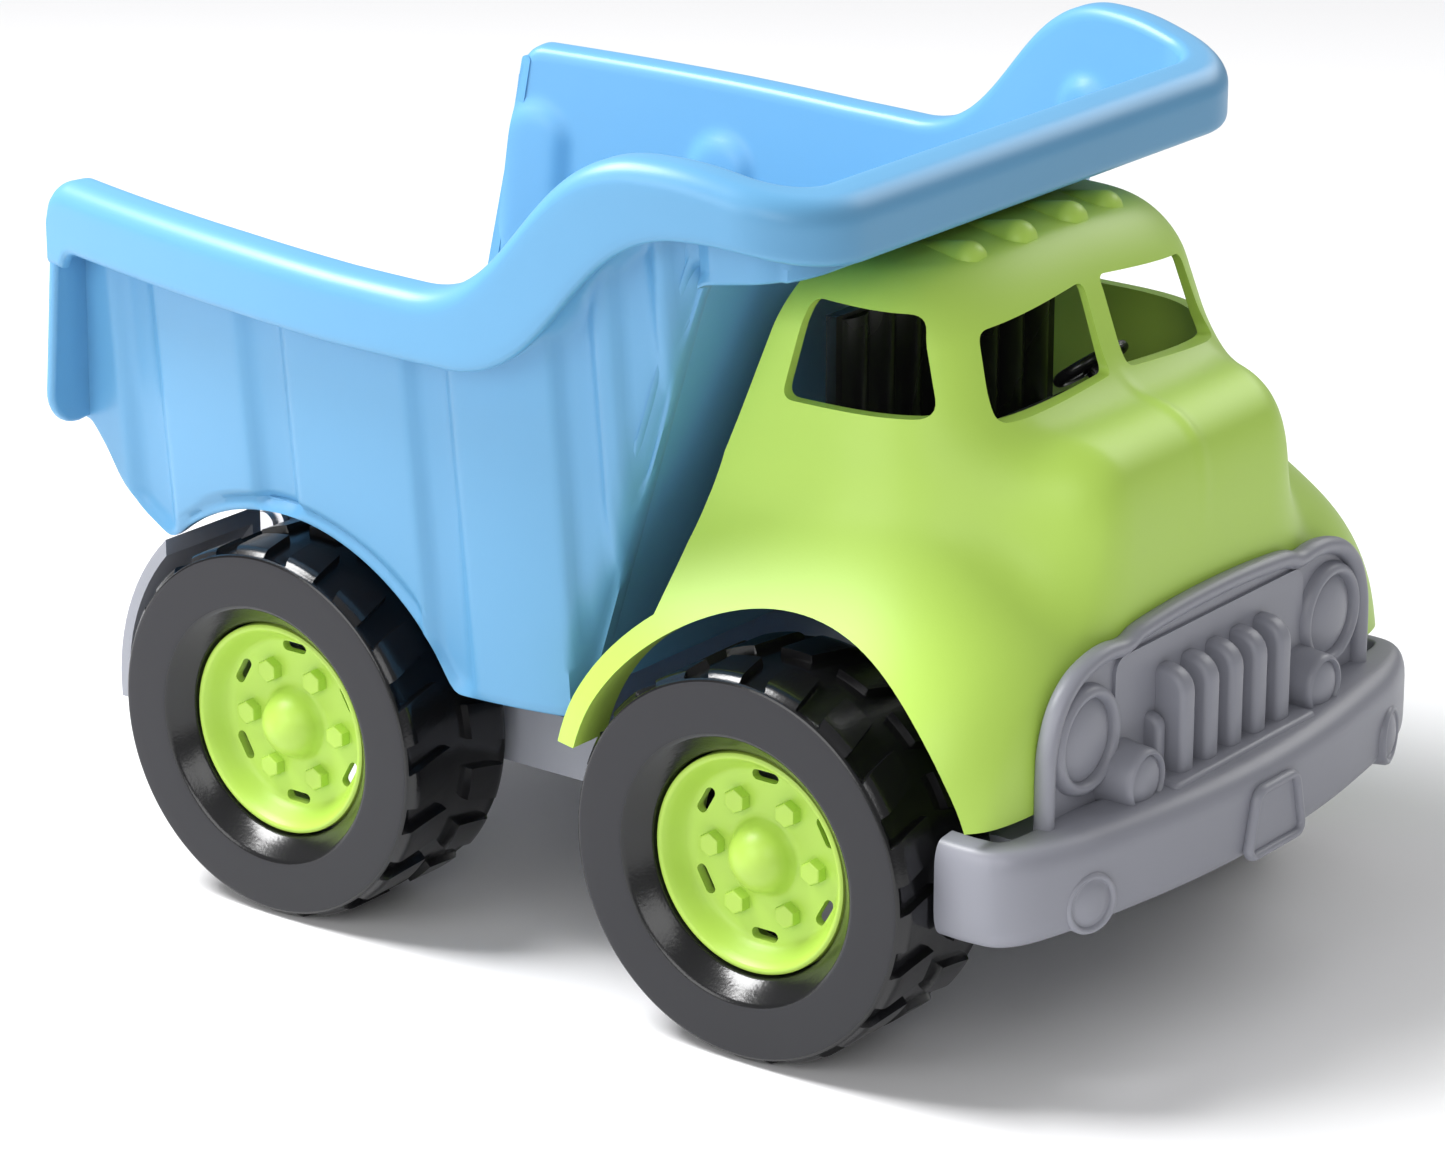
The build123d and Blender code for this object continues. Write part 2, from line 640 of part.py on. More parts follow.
def cab_posts():
    """Four posts inside the cab that stand on the deck and take its screws."""
    posts = None
    for x, y in cab_screw_places():
        if x < front_axle_x:
            side = 1 if y > 0 else -1
            y_out = side * (cab_hip_half_width + 10)
            leg = box(x - 4, x + 4, min(y - 4, y + 4), max(y - 4, y + 4), deck_z, cab_hip_z + 12)
            arm = box(x - 4, x + 4, min(y, y_out), max(y, y_out), cab_hip_z, cab_hip_z + 12)
            post = (leg + arm) & cab_block(wall / 2)
            post += leg & box(0, 200, -200, 200, deck_z, cab_hip_z + 2)
        else:
            post = rod_z(post_radius, deck_z, hood_top_z - wall / 2, x, y)
        post -= hole_for(x, y, deck_z - 1, deck_z + 12)
        posts = post if posts is None else posts + post
    return posts


# ================================================================ cab interior
def steering_wheel():
    """The wheel moulded on the dashboard, on a short raked column."""
    hub = (dash_x - dash_depth + 1.0, steering_y, dash_top_z + steering_rise)
    rake = Plane(origin=hub, z_dir=(-0.6, 0, 0.8))
    rim = Torus(steering_radius, steering_rim)
    spokes = Box(2 * steering_radius, 2 * steering_rim, 1.6) + Cylinder(2.4, 3.0)
    column = Pos(0, 0, -steering_rise) * Cylinder(1.8, 2 * steering_rise)
    return rake * (rim + spokes + column)


def cab_interior():
    """The insert seen through the windows: seat back, bench, floor, dashboard and wheel."""
    half, foot = bench_half_width, insert_foot_half
    back_x = cab_rear_x + 13.0
    front = back_x + wall
    solid = box(back_x, front, -foot, foot, deck_z, bench_z)
    solid += box(back_x, front, -half, half, bench_z - wall, seat_top_z)
    solid += box(back_x, back_x + bench_depth, -half, half, bench_z - wall, bench_z)
    solid += box(back_x + bench_depth - wall, back_x + bench_depth, -foot, foot, deck_z, bench_z)
    solid += box(back_x, dash_x + wall, -foot, foot, deck_z, deck_z + wall)
    solid += box(dash_x, dash_x + wall, -foot, foot, deck_z, dash_top_z)
    dash_rear_x = dash_x - dash_depth
    solid += box(dash_rear_x, dash_x + wall, -dash_half_width, dash_half_width, dash_top_z - wall, dash_top_z)
    solid += steering_wheel()
    rib_x = front - seat_rib_radius + seat_rib_depth
    for k in range(seat_rib_count):
        y = (k - (seat_rib_count - 1) / 2) * seat_rib_pitch
        rib = rod_z(seat_rib_radius, bench_z - 1, seat_top_z - 1, rib_x, y)
        solid += rib & box(front - 1, front + wall, -half, half, bench_z - 1, seat_top_z - 1)
    for side in (-1, 1):
        y = side * insert_screw_y
        solid += rod_z(post_radius, deck_z, deck_z + 6.0, insert_screw_x, y)
        solid -= hole_for(insert_screw_x, y, deck_z - 1, deck_z + 7)
    return solid


# ================================================================ fascia
def bumper():
    """The wrap-round bumper: bowed forward, with rounded edges and two round bosses."""
    x_mid = front_x - 2.2
    x_boss = x_mid - bumper_bow
    x_end = x_boss - 17.0
    half = bumper_half_width
    bow = ThreePointArc((x_boss - 2, -half + 13), (x_mid, 0), (x_boss - 2, half - 13))
    left = ThreePointArc((x_boss - 2, half - 13), (x_boss - 7, half - 4), (x_end, half))
    right = ThreePointArc((x_end, -half), (x_boss - 7, -half + 4), (x_boss - 2, -half + 13))
    back = Polyline((x_end, half), (x_end, half - 5), (x_boss - bumper_thickness, half - 24),
                    (x_boss - bumper_thickness, 24 - half), (x_end, 5 - half), (x_end, -half))
    bar = make_face([bow, left, right] + list(back.edges()))
    solid = Pos(0, 0, bumper_low_z) * extrude(bar, bumper_top_z - bumper_low_z)
    for side in (-1, 1):
        solid += rod_x(5.6, x_boss - 6, x_boss + 1.3, side * 58.0, 39.9)
    return solid


def plate_frame():
    """A blank number-plate frame on the bumper's middle."""
    high = plate_height / 2
    mid_z = bumper_low_z + high + 1.0

    def trapezoid(inset, x0, x1):
        """A plate that narrows upwards, drawn in by an inset."""
        half, rise = plate_half_width - inset, high - inset
        top_half = half - plate_taper
        corners = [(-half, mid_z - rise), (half, mid_z - rise), (top_half, mid_z + rise), (-top_half, mid_z + rise)]
        return front_prism(corners, x0, x1)

    return trapezoid(0, front_x - 8, front_x) - trapezoid(plate_rim, front_x - 1.4, front_x + 1)


def fascia_outline(inset):
    """The grille panel's outline as (y, z) points: level top, dropped round shoulders."""
    half = fascia_half_width - inset
    top = fascia_top_z - inset
    spring = headlight_z + 2
    run = [(half, bumper_top_z - 4), (half, spring)]
    for step in range(1, 5):
        turn = radians(90 * step / 4)
        run.append((half - 14 + 14 * cos(turn), spring + (top - 1 - spring) * sin(turn)))
    run.append((33.0, top))
    return run + [(-y, z) for y, z in reversed(run)]


def fascia():
    """The grille panel, lamps, grille bars and bumper as one moulding."""
    panel_x = cab_nose_x
    solid = front_prism(fascia_outline(0), panel_x, panel_x + 4.5)
    solid -= front_prism(fascia_outline(3.2), panel_x + 1.8, panel_x + 6)
    for side in (-1, 1):
        lamp = rod_x(headlight_radius, panel_x + 1, panel_x + 4.4, side * headlight_y, headlight_z)
        lamp -= rod_x(headlight_radius - 2, panel_x + 3, panel_x + 6, side * headlight_y, headlight_z)
        glass = domed_rod(headlight_radius - 1.6, panel_x + 2, panel_x + 3.4, panel_x + 5.6)
        solid += lamp + Pos(0, side * headlight_y, headlight_z) * glass
        solid += domed_rod(fog_radius, panel_x + 1, panel_x + 10.2, panel_x + 11.5, side * fog_y, fog_z)
    middle = (grille_bar_count - 1) / 2
    for bar in range(grille_bar_count):
        y = (bar - middle) * grille_bar_pitch
        half = grille_bar_width / 2
        solid += box(panel_x + 1, panel_x + 7.5, y - half, y + half, bumper_top_z - 2, fascia_top_z - 10)
        solid += rod_x(half, panel_x + 1, panel_x + 7.5, y, fascia_top_z - 10)
    for gap in range(grille_bar_count + 1):
        y = (gap - middle - 0.5) * grille_bar_pitch
        solid += box(panel_x + 1, panel_x + 5, y - 1.4, y + 1.4, bumper_top_z - 2, fascia_top_z - 20)
    sill_half = grille_bar_pitch * grille_bar_count / 2 + 1
    solid += box(panel_x + 1, panel_x + 9.5, -sill_half, sill_half, bumper_top_z - 2, bumper_top_z + 1.5)
    solid += bumper()
    solid += plate_frame()
    solid += box(panel_x - 1, panel_x + 12, -fascia_half_width + 4, fascia_half_width - 4, bumper_top_z - 8,
                 bumper_top_z - 4)
    for side in (-1, 1):
        y = side * fascia_screw_y
        tab = box(fascia_tab_x - 5, panel_x + 3, y - 5, y + 5, deck_z, deck_z + 3.5)
        tab += box(panel_x - 1, panel_x + 3, y - 5, y + 5, deck_z, bumper_top_z - 4)
        tab -= hole_for(fascia_tab_x, y, deck_z - 1, deck_z + 9)
        solid += tab
    return solid


# ================================================================ write the nodes
wheelset(front_axle_x, "front", ("front_left", "front_right"))
wheelset(rear_axle_x, "rear", ("rear_left", "rear_right"))
save("chassis_frame", chassis())
save("front_axle_saddle", saddle(front_axle_x))
save("rear_axle_saddle", saddle(rear_axle_x))
save("dump_bed", bed())
save("cab_shell", cab())
save("front_fascia", fascia())
save("cab_interior", cab_interior())

pin_end = hinge_ear_y + hinge_ear_width / 2 + side_gap + clip_thickness + 1.0
save("bed_hinge_pin", rod_y(hinge_pin_radius, -pin_end, pin_end, hinge_x, hinge_z))
clip_y = hinge_ear_y + hinge_ear_width / 2 + side_gap
clip = rod_y(clip_radius, clip_y, clip_y + clip_thickness, hinge_x, hinge_z)
clip -= rod_y(hinge_pin_radius, clip_y - 1, clip_y + clip_thickness + 1, hinge_x, hinge_z)
save("hinge_pin_clips", Compound(children=[clip, mirrored(clip)]))

saddle_screws = []
for axle_x in (front_axle_x, rear_axle_x):
    for way in (-1, 1):
        saddle_screws.append(screw(axle_x + way * saddle_screw_offset, 0, saddle_low_z, 10.0))
save("saddle_screws", Compound(children=saddle_screws))
cab_screws = [screw(x, y, deck_z - wall, 12.0) for x, y in cab_screw_places()]
save("cab_screws", Compound(children=cab_screws))
fascia_screws = [screw(fascia_tab_x, way * fascia_screw_y, deck_z - wall, 5.5) for way in (-1, 1)]
save("fascia_screws", Compound(children=fascia_screws))
interior_screws = [screw(insert_screw_x, way * insert_screw_y, deck_z - wall, 5.5) for way in (-1, 1)]
save("interior_screws", Compound(children=interior_screws))
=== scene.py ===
"""Toy dump truck: the finished look of every piece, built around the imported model."""
import json
from math import cos, pi, radians, sin, sqrt

import bmesh
import bpy
import numpy as np
from mathutils import Matrix, Vector


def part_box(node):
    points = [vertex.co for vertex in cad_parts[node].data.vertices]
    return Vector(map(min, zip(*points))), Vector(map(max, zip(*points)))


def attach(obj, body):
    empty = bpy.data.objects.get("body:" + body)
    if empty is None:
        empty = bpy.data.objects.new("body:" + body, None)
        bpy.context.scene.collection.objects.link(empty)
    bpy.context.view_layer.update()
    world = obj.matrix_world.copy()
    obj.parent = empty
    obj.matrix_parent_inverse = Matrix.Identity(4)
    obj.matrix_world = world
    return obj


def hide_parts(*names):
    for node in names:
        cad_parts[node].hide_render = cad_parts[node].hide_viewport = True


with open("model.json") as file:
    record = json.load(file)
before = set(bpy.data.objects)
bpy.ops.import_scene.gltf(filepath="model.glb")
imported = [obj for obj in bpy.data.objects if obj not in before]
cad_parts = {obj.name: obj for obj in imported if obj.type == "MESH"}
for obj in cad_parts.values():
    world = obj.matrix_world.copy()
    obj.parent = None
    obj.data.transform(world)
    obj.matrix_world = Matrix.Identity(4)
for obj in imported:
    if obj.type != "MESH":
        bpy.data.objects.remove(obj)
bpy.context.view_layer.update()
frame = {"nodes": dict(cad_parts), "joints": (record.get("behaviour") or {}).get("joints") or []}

# ------------------------------------------------------------------ tyres
# Four blow-moulded tyres in hard black plastic, satin on the flat sidewall and
# glossy elsewhere. Each shoulder carries a row of hooked lugs, and the bead is
# a plain bore that snaps over the hub.
MM = 0.001
front_axle_x = 1000 * frame["joints"][1]["pos_m"][0]
rear_axle_x = 1000 * frame["joints"][2]["pos_m"][0]
axle_z = 1000 * frame["joints"][2]["pos_m"][2]
wheel_face_y = 1000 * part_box("front_left_tyre")[1][1]
lug_count = 18
lug_pocket = 9.0
lug_side_slope = 0.35
groove_reach = 12.0
tread_floor = 39.8
lug_rise = 1.7
sidewall_low = 28.8
sidewall_high = 39.8
outer_sidewall = ((24.0, 15.0), (24.0, 6.0), (24.05, 4.9), (24.4, 4.3), (26.2, 2.45), (28.0, 0.62),
                  (28.4, 0.25), (28.9, 0.05), (29.6, 0.0), (33.0, 0.0), (36.5, 0.0), (39.0, 0.0),
                  (39.6, 0.06), (40.0, 0.3), (40.2, 0.7))
inner_sidewall = ((40.2, 32.3, 1), (40.0, 32.7, 1), (39.6, 32.94, 1), (39.0, 33.0, 1), (36.0, 33.0, 0.7),
                  (33.0, 33.0, 0.4), (30.0, 33.0, 0.1), (28.9, 32.95, 0), (28.4, 32.75, 0),
                  (26.2, 30.5, 0), (24.1, 28.4, 0), (24.0, 27.0, 0))
outer_shoulder = ((1.0, 40.1, 0.35, 0.0), (1.5, 39.9, 1.0, 0.3), (2.3, 39.8, 1.6, 0.9))
inner_shoulder = ((30.7, 39.8, 1.6, 0.9), (31.5, 39.9, 1.0, 0.3), (32.0, 40.1, 0.35, 0.0))


def plastic_group():
    """Moulded plastic: colour that drifts a little, fine mould grain and uneven gloss."""
    group = bpy.data.node_groups.new("moulded_plastic", "ShaderNodeTree")
    inputs = (("Colour", "NodeSocketColor", (1, 1, 1, 1)), ("Drift", "NodeSocketFloat", 0.04),
              ("Roughness", "NodeSocketFloat", 0.4), ("Grain", "NodeSocketFloat", 0.12),
              ("Grain size", "NodeSocketFloat", 1800.0))
    for name, kind, value in inputs:
        socket = group.interface.new_socket(name, in_out="INPUT", socket_type=kind)
        socket.default_value = value
    outputs = (("Colour", "NodeSocketColor"), ("Roughness", "NodeSocketFloat"), ("Normal", "NodeSocketVector"))
    for name, kind in outputs:
        group.interface.new_socket(name, in_out="OUTPUT", socket_type=kind)
    node, link = group.nodes.new, group.links.new
    enter, leave, where = node("NodeGroupInput"), node("NodeGroupOutput"), node("ShaderNodeTexCoord")
    cloud = node("ShaderNodeTexNoise")
    cloud.inputs["Scale"].default_value = 22.0
    cloud.inputs["Detail"].default_value = 3.0
    link(where.outputs["Object"], cloud.inputs["Vector"])
    swing = node("ShaderNodeMath")
    swing.operation = "MULTIPLY_ADD"
    swing.inputs[2].default_value = 1.0
    centred = node("ShaderNodeMath")
    centred.operation = "SUBTRACT"
    centred.inputs[1].default_value = 0.5
    link(cloud.outputs["Fac"], centred.inputs[0])
    link(centred.outputs[0], swing.inputs[0])
    link(enter.outputs["Drift"], swing.inputs[1])
    tint = node("ShaderNodeVectorMath")
    tint.operation = "SCALE"
    link(enter.outputs["Colour"], tint.inputs[0])
    link(swing.outputs[0], tint.inputs["Scale"])
    link(tint.outputs[0], leave.inputs["Colour"])
    grain = node("ShaderNodeTexNoise")
    grain.inputs["Detail"].default_value = 2.0
    link(where.outputs["Object"], grain.inputs["Vector"])
    link(enter.outputs["Grain size"], grain.inputs["Scale"])
    smear = node("ShaderNodeMath")
    smear.operation = "MULTIPLY_ADD"
    smear.inputs[1].default_value = 0.10
    link(cloud.outputs["Fac"], smear.inputs[0])
    link(enter.outputs["Roughness"], smear.inputs[2])
    link(smear.outputs[0], leave.inputs["Roughness"])
    bump = node("ShaderNodeBump")
    bump.inputs["Distance"].default_value = 0.00012
    link(enter.outputs["Grain"], bump.inputs["Strength"])
    link(grain.outputs["Fac"], bump.inputs["Height"])
    link(bump.outputs["Normal"], leave.inputs["Normal"])
    return group


moulded_plastic = plastic_group()


def plastic(name, colour, roughness, drift=0.05, grain=0.12, grain_size=1800.0, specular=0.5):
    """A material in the moulded plastic finish."""
    material = bpy.data.materials.new(name)
    material.use_nodes = True
    tree = material.node_tree
    shader = tree.nodes["Principled BSDF"]
    shader.inputs["Specular IOR Level"].default_value = specular
    finish = tree.nodes.new("ShaderNodeGroup")
    finish.node_tree = moulded_plastic
    finish.inputs["Colour"].default_value = (*colour, 1)
    finish.inputs["Drift"].default_value = drift
    finish.inputs["Roughness"].default_value = roughness
    finish.inputs["Grain"].default_value = grain
    finish.inputs["Grain size"].default_value = grain_size
    tree.links.new(finish.outputs["Colour"], shader.inputs["Base Color"])
    tree.links.new(finish.outputs["Roughness"], shader.inputs["Roughness"])
    tree.links.new(finish.outputs["Normal"], shader.inputs["Normal"])
    return material


def grid_faces(rows, columns, wrap_rows=False, wrap_columns=False, start=0, flip=False):
    """Quads over a grid of points kept row by row."""
    faces = []
    for i in range(rows if wrap_rows else rows - 1):
        for j in range(columns if wrap_columns else columns - 1):
            a = start + i * columns + j
            b = start + i * columns + (j + 1) % columns
            c = start + ((i + 1) % rows) * columns + (j + 1) % columns
            d = start + ((i + 1) % rows) * columns + j
            faces.append((a, d, c, b) if flip else (a, b, c, d))
    return faces


def outward(mesh, merge=0.00001):
    """Merges doubled points and turns every face outwards."""
    work = bmesh.new()
    work.from_mesh(mesh)
    bmesh.ops.remove_doubles(work, verts=work.verts, dist=merge)
    bmesh.ops.recalc_face_normals(work, faces=work.faces)
    work.to_mesh(mesh)
    work.free()


def added(name, data):
    """A new object, put in the scene."""
    thing = bpy.data.objects.new(name, data)
    bpy.context.scene.collection.objects.link(thing)
    return thing


def new_piece(name, points, faces, material, crease=35, merge=0.00001):
    """A smooth-shaded piece from points in millimetres."""
    mesh = bpy.data.meshes.new(name)
    mesh.from_pydata((np.asarray(points, float) * MM).tolist(), [], faces)
    outward(mesh, merge)
    mesh.shade_smooth()
    mesh.set_sharp_from_angle(angle=radians(crease))
    mesh.materials.append(material)
    return added(name, mesh)


def lug_columns(depth, turn):
    """Angles and heights (0 or 1) round one row of hooked lugs, at a depth from the shoulder."""
    pitch = 360.0 / lug_count
    reach = depth / groove_reach
    hook = 3.2 * reach ** 0.5 + 1.2 * reach
    slant = 5.0 * reach
    angles, heights = [], []
    for lug in range(lug_count):
        base = lug * pitch + turn
        pocket_start, pocket_end = base + hook, base + lug_pocket + slant
        next_pocket = base + pitch + hook
        for k in range(5):
            pocket_floor = pocket_end - pocket_start - 2 * lug_side_slope
            angles.append(pocket_start + lug_side_slope + pocket_floor * k / 4)
            heights.append(0.0)
        for k in range(7):
            angles.append(pocket_end + (next_pocket - pocket_end) * k / 6)
            heights.append(1.0)
    return np.array(angles), np.array(heights)


def tyre_points():
    """The tyre's surface as rows of (radius, depth from the outer face, angle)."""
    rows = []
    plain = lug_columns(0.0, 0.0)[0]
    half_pitch = 180.0 / lug_count

    def ring(radius, depth, turn=0.0):
        rows.append(np.stack([np.full(len(plain), radius), np.full(len(plain), depth), plain + turn], 1))

    def lugs(depth, base, rise, from_edge, turn):
        angles, heights = lug_columns(from_edge, turn)
        rows.append(np.stack([base + rise * heights, np.full(len(angles), depth), angles], 1))

    for radius, depth in outer_sidewall:
        ring(radius, depth)
    for shoulder in outer_shoulder:
        lugs(*shoulder, 0.0)
    for depth in (3.4, 5.0, 6.8, 8.6, 10.4, 12.0, 13.0):
        lugs(depth, tread_floor, lug_rise, depth - 1.4, 0.0)
    for depth, turn in ((13.3, 0.0), (16.5, half_pitch / 2), (19.7, half_pitch)):
        lugs(depth, tread_floor, 0.0, groove_reach, turn)
    for depth in (20.0, 21.0, 22.6, 24.4, 26.2, 28.0, 29.6):
        lugs(depth, tread_floor, lug_rise, 31.6 - depth, half_pitch)
    for shoulder in inner_shoulder:
        lugs(*shoulder, half_pitch)
    for radius, depth, turn in inner_sidewall:
        ring(radius, depth, turn * half_pitch)
    return np.array(rows)


tyre_gloss = plastic("tyre_gloss_black", (0.006, 0.006, 0.007), 0.16, grain=0.22, grain_size=1400.0)
tyre_satin = plastic("tyre_satin_sidewall", (0.024, 0.024, 0.028), 0.46, drift=0.03, grain=0.05,
                     specular=0.3)
wheels = {"front_left": (front_axle_x, 1), "front_right": (front_axle_x, -1),
          "rear_left": (rear_axle_x, 1), "rear_right": (rear_axle_x, -1)}
tread = tyre_points()
for wheel, (x, side) in wheels.items():
    radius, depth, angle = tread[..., 0], tread[..., 1], np.radians(tread[..., 2])
    points = np.stack([x + radius * np.cos(angle), side * (wheel_face_y - depth),
                       axle_z + radius * np.sin(angle)], -1)
    rows, columns = points.shape[:2]
    piece = new_piece(wheel + "_tyre_skin", points.reshape(-1, 3),
                      grid_faces(rows, columns, wrap_rows=True, wrap_columns=True), tyre_gloss, crease=28)
    piece.data.materials.append(tyre_satin)
    for face in piece.data.polygons:
        reach = sqrt((face.center[0] / MM - x) ** 2 + (face.center[2] / MM - axle_z) ** 2)
        if abs(face.normal[1]) > 0.95 and sidewall_low < reach < sidewall_high:
            face.material_index = 1
    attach(piece, wheel.split("_")[0] + "_wheels")
    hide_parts(wheel + "_tyre")

# ------------------------------------------------------------------ hubs
# A lime green dished hub is pressed into each tyre and onto the axle. It has a
# ball-shaped centre, six moulded hexagon nuts and six slots round its dish.
hub_lip_depth = 4.8
hub_face_depth = 10.6
nut_count = 6
nut_circle = 12.7
nut_radius = 2.75
nut_height = 2.4
slot_circle = 17.2
slot_length = 6.6
slot_width = 2.3
ball_radius = 7.6
hub_wall = 2.0
hub_reach = 14.0


def revolved(profile, steps, centre, toward, poles):
    """Points and faces of a profile of (radius, distance) turned about an axis through a centre."""
    points = []
    axis = np.array(toward, float)
    across = np.array((0, 0, 1.0))
    third = np.cross(axis, across)
    for radius, distance in profile:
        for k in range(steps):
            turn = 2 * pi * k / steps
            spoke = cos(turn) * across + sin(turn) * third
            points.append(np.array(centre) + axis * distance + radius * spoke)
    faces = grid_faces(len(profile), steps, wrap_columns=True)
    for pole, row in poles:
        points.append(np.array(centre) + axis * pole)
        base = row * steps
        faces += [(base + k, base + (k + 1) % steps, len(points) - 1) for k in range(steps)]
    return points, faces


def cut(piece, *cutters):
    """Takes the cutters away from a piece for good."""
    for cutter in cutters:
        change = piece.modifiers.new("cut", "BOOLEAN")
        change.operation = "DIFFERENCE"
        change.solver = "EXACT"
        change.object = cutter
    made = bpy.data.meshes.new_from_object(piece.evaluated_get(bpy.context.evaluated_depsgraph_get()))
    piece.modifiers.clear()
    made.name = piece.data.name
    piece.data = made
    for cutter in cutters:
        bpy.data.objects.remove(cutter)


def end_tree(tree, place):
    """Ends a tree: the placed parts are made real and given their material."""
    node, link = tree.nodes.new, tree.links.new
    enter, leave = tree.nodes["Group Input"], tree.nodes["Group Output"]
    real, paint = node("GeometryNodeRealizeInstances"), node("GeometryNodeSetMaterial")
    link(place.outputs["Instances"], real.inputs["Geometry"])
    link(real.outputs["Geometry"], paint.inputs["Geometry"])
    link(enter.outputs["Material"], paint.inputs["Material"])
    link(paint.outputs["Geometry"], leave.inputs["Geometry"])


def ring_of(name, count, circle, part, centre, material):
    """Geometry Nodes tree that sets a part round a circle about the Y axis, facing outwards along Y."""
    tree = bpy.data.node_groups.new(name, "GeometryNodeTree")
    inputs = (("Count", "NodeSocketInt", count), ("Circle radius", "NodeSocketFloat", circle * MM),
              ("Part", "NodeSocketObject", part), ("Centre", "NodeSocketVector", centre),
              ("Material", "NodeSocketMaterial", material))
    for label, kind, value in inputs:
        socket = tree.interface.new_socket(label, in_out="INPUT", socket_type=kind)
        if kind in ("NodeSocketInt", "NodeSocketFloat", "NodeSocketVector"):
            socket.default_value = value
    tree.interface.new_socket("Geometry", in_out="OUTPUT", socket_type="NodeSocketGeometry")
    node, link = tree.nodes.new, tree.links.new
    enter = node("NodeGroupInput")
    node("NodeGroupOutput")
    circle_node = node("GeometryNodeMeshCircle")
    link(enter.outputs["Count"], circle_node.inputs["Vertices"])
    link(enter.outputs["Circle radius"], circle_node.inputs["Radius"])
    stand = node("GeometryNodeTransform")
    stand.inputs["Rotation"].default_value = (pi / 2, 0, 0)
    link(circle_node.outputs["Mesh"], stand.inputs["Geometry"])
    link(enter.outputs["Centre"], stand.inputs["Translation"])
    part_info = node("GeometryNodeObjectInfo")
    link(enter.outputs["Part"], part_info.inputs["Object"])
    place = node("GeometryNodeInstanceOnPoints")
    link(stand.outputs["Geometry"], place.inputs["Points"])
    link(part_info.outputs["Geometry"], place.inputs["Instance"])
    index = node("GeometryNodeInputIndex")
    step = node("ShaderNodeMath")
    step.operation = "DIVIDE"
    step.inputs[0].default_value = -2 * pi
    link(enter.outputs["Count"], step.inputs[1])
    turn = node("ShaderNodeMath")
    turn.operation = "MULTIPLY"
    link(index.outputs[0], turn.inputs[0])
    link(step.outputs[0], turn.inputs[1])
    angles = node("ShaderNodeCombineXYZ")
    link(turn.outputs[0], angles.inputs["Y"])
    link(angles.outputs[0], place.inputs["Rotation"])
    end_tree(tree, place)
    return tree


def set_out(name, tree, values):
    """Runs a Geometry Nodes tree with its inputs set, and keeps the result as a plain piece."""
    piece = added(name, bpy.data.meshes.new(name))
    change = piece.modifiers.new("set out", "NODES")
    change.node_group = tree
    sockets = {item.name: item.identifier for item in tree.interface.items_tree if item.in_out == "INPUT"}
    for label, value in values.items():
        change[sockets[label]] = value
    made = bpy.data.meshes.new_from_object(piece.evaluated_get(bpy.context.evaluated_depsgraph_get()))
    piece.modifiers.clear()
    made.name = name
    piece.data = made
    return piece


def prism(outline, direction, low, high):
    """Points and faces of an outline of (u, v) pushed along Y or X."""
    points = []
    for level in (low, high):
        for u, v in outline:
            points.append((u, level, v) if direction == "Y" else (level, u, v))
    n = len(outline)
    faces = [tuple(range(n)), tuple(range(2 * n - 1, n - 1, -1))]
    faces += [(k, (k + 1) % n, n + (k + 1) % n, n + k) for k in range(n)]
    return points, faces


def capsule(length, width, turn, u, v, steps=7):
    """A slot's outline, centred and turned."""
    radius = width / 2
    reach = length / 2 - radius
    outline = []
    for end in (1, -1):
        for k in range(steps):
            angle = -pi / 2 + pi * k / (steps - 1)
            outline.append((end * (reach + radius * cos(angle)), end * radius * sin(angle)))
    return [(u + a * cos(turn) - b * sin(turn), v + a * sin(turn) + b * cos(turn)) for a, b in outline]


def hexagon_nut():
    """One moulded nut, standing up along -Y from its foot, with chamfered corners."""
    points = []
    levels = ((1.0, 0.4), (1.0, -0.72), (0.93, -0.95), (0.80, -1.0))
    for size, height in levels:
        for k in range(6):
            turn = pi / 6 + k * pi / 3
            radius = nut_radius * size
            points.append((radius * cos(turn), nut_height * height, radius * sin(turn)))
    faces = grid_faces(len(levels), 6, wrap_columns=True)
    faces += [tuple(range(18, 24)), tuple(range(5, -1, -1))]
    return new_piece("nut_master", points, faces, hub_green, crease=20)


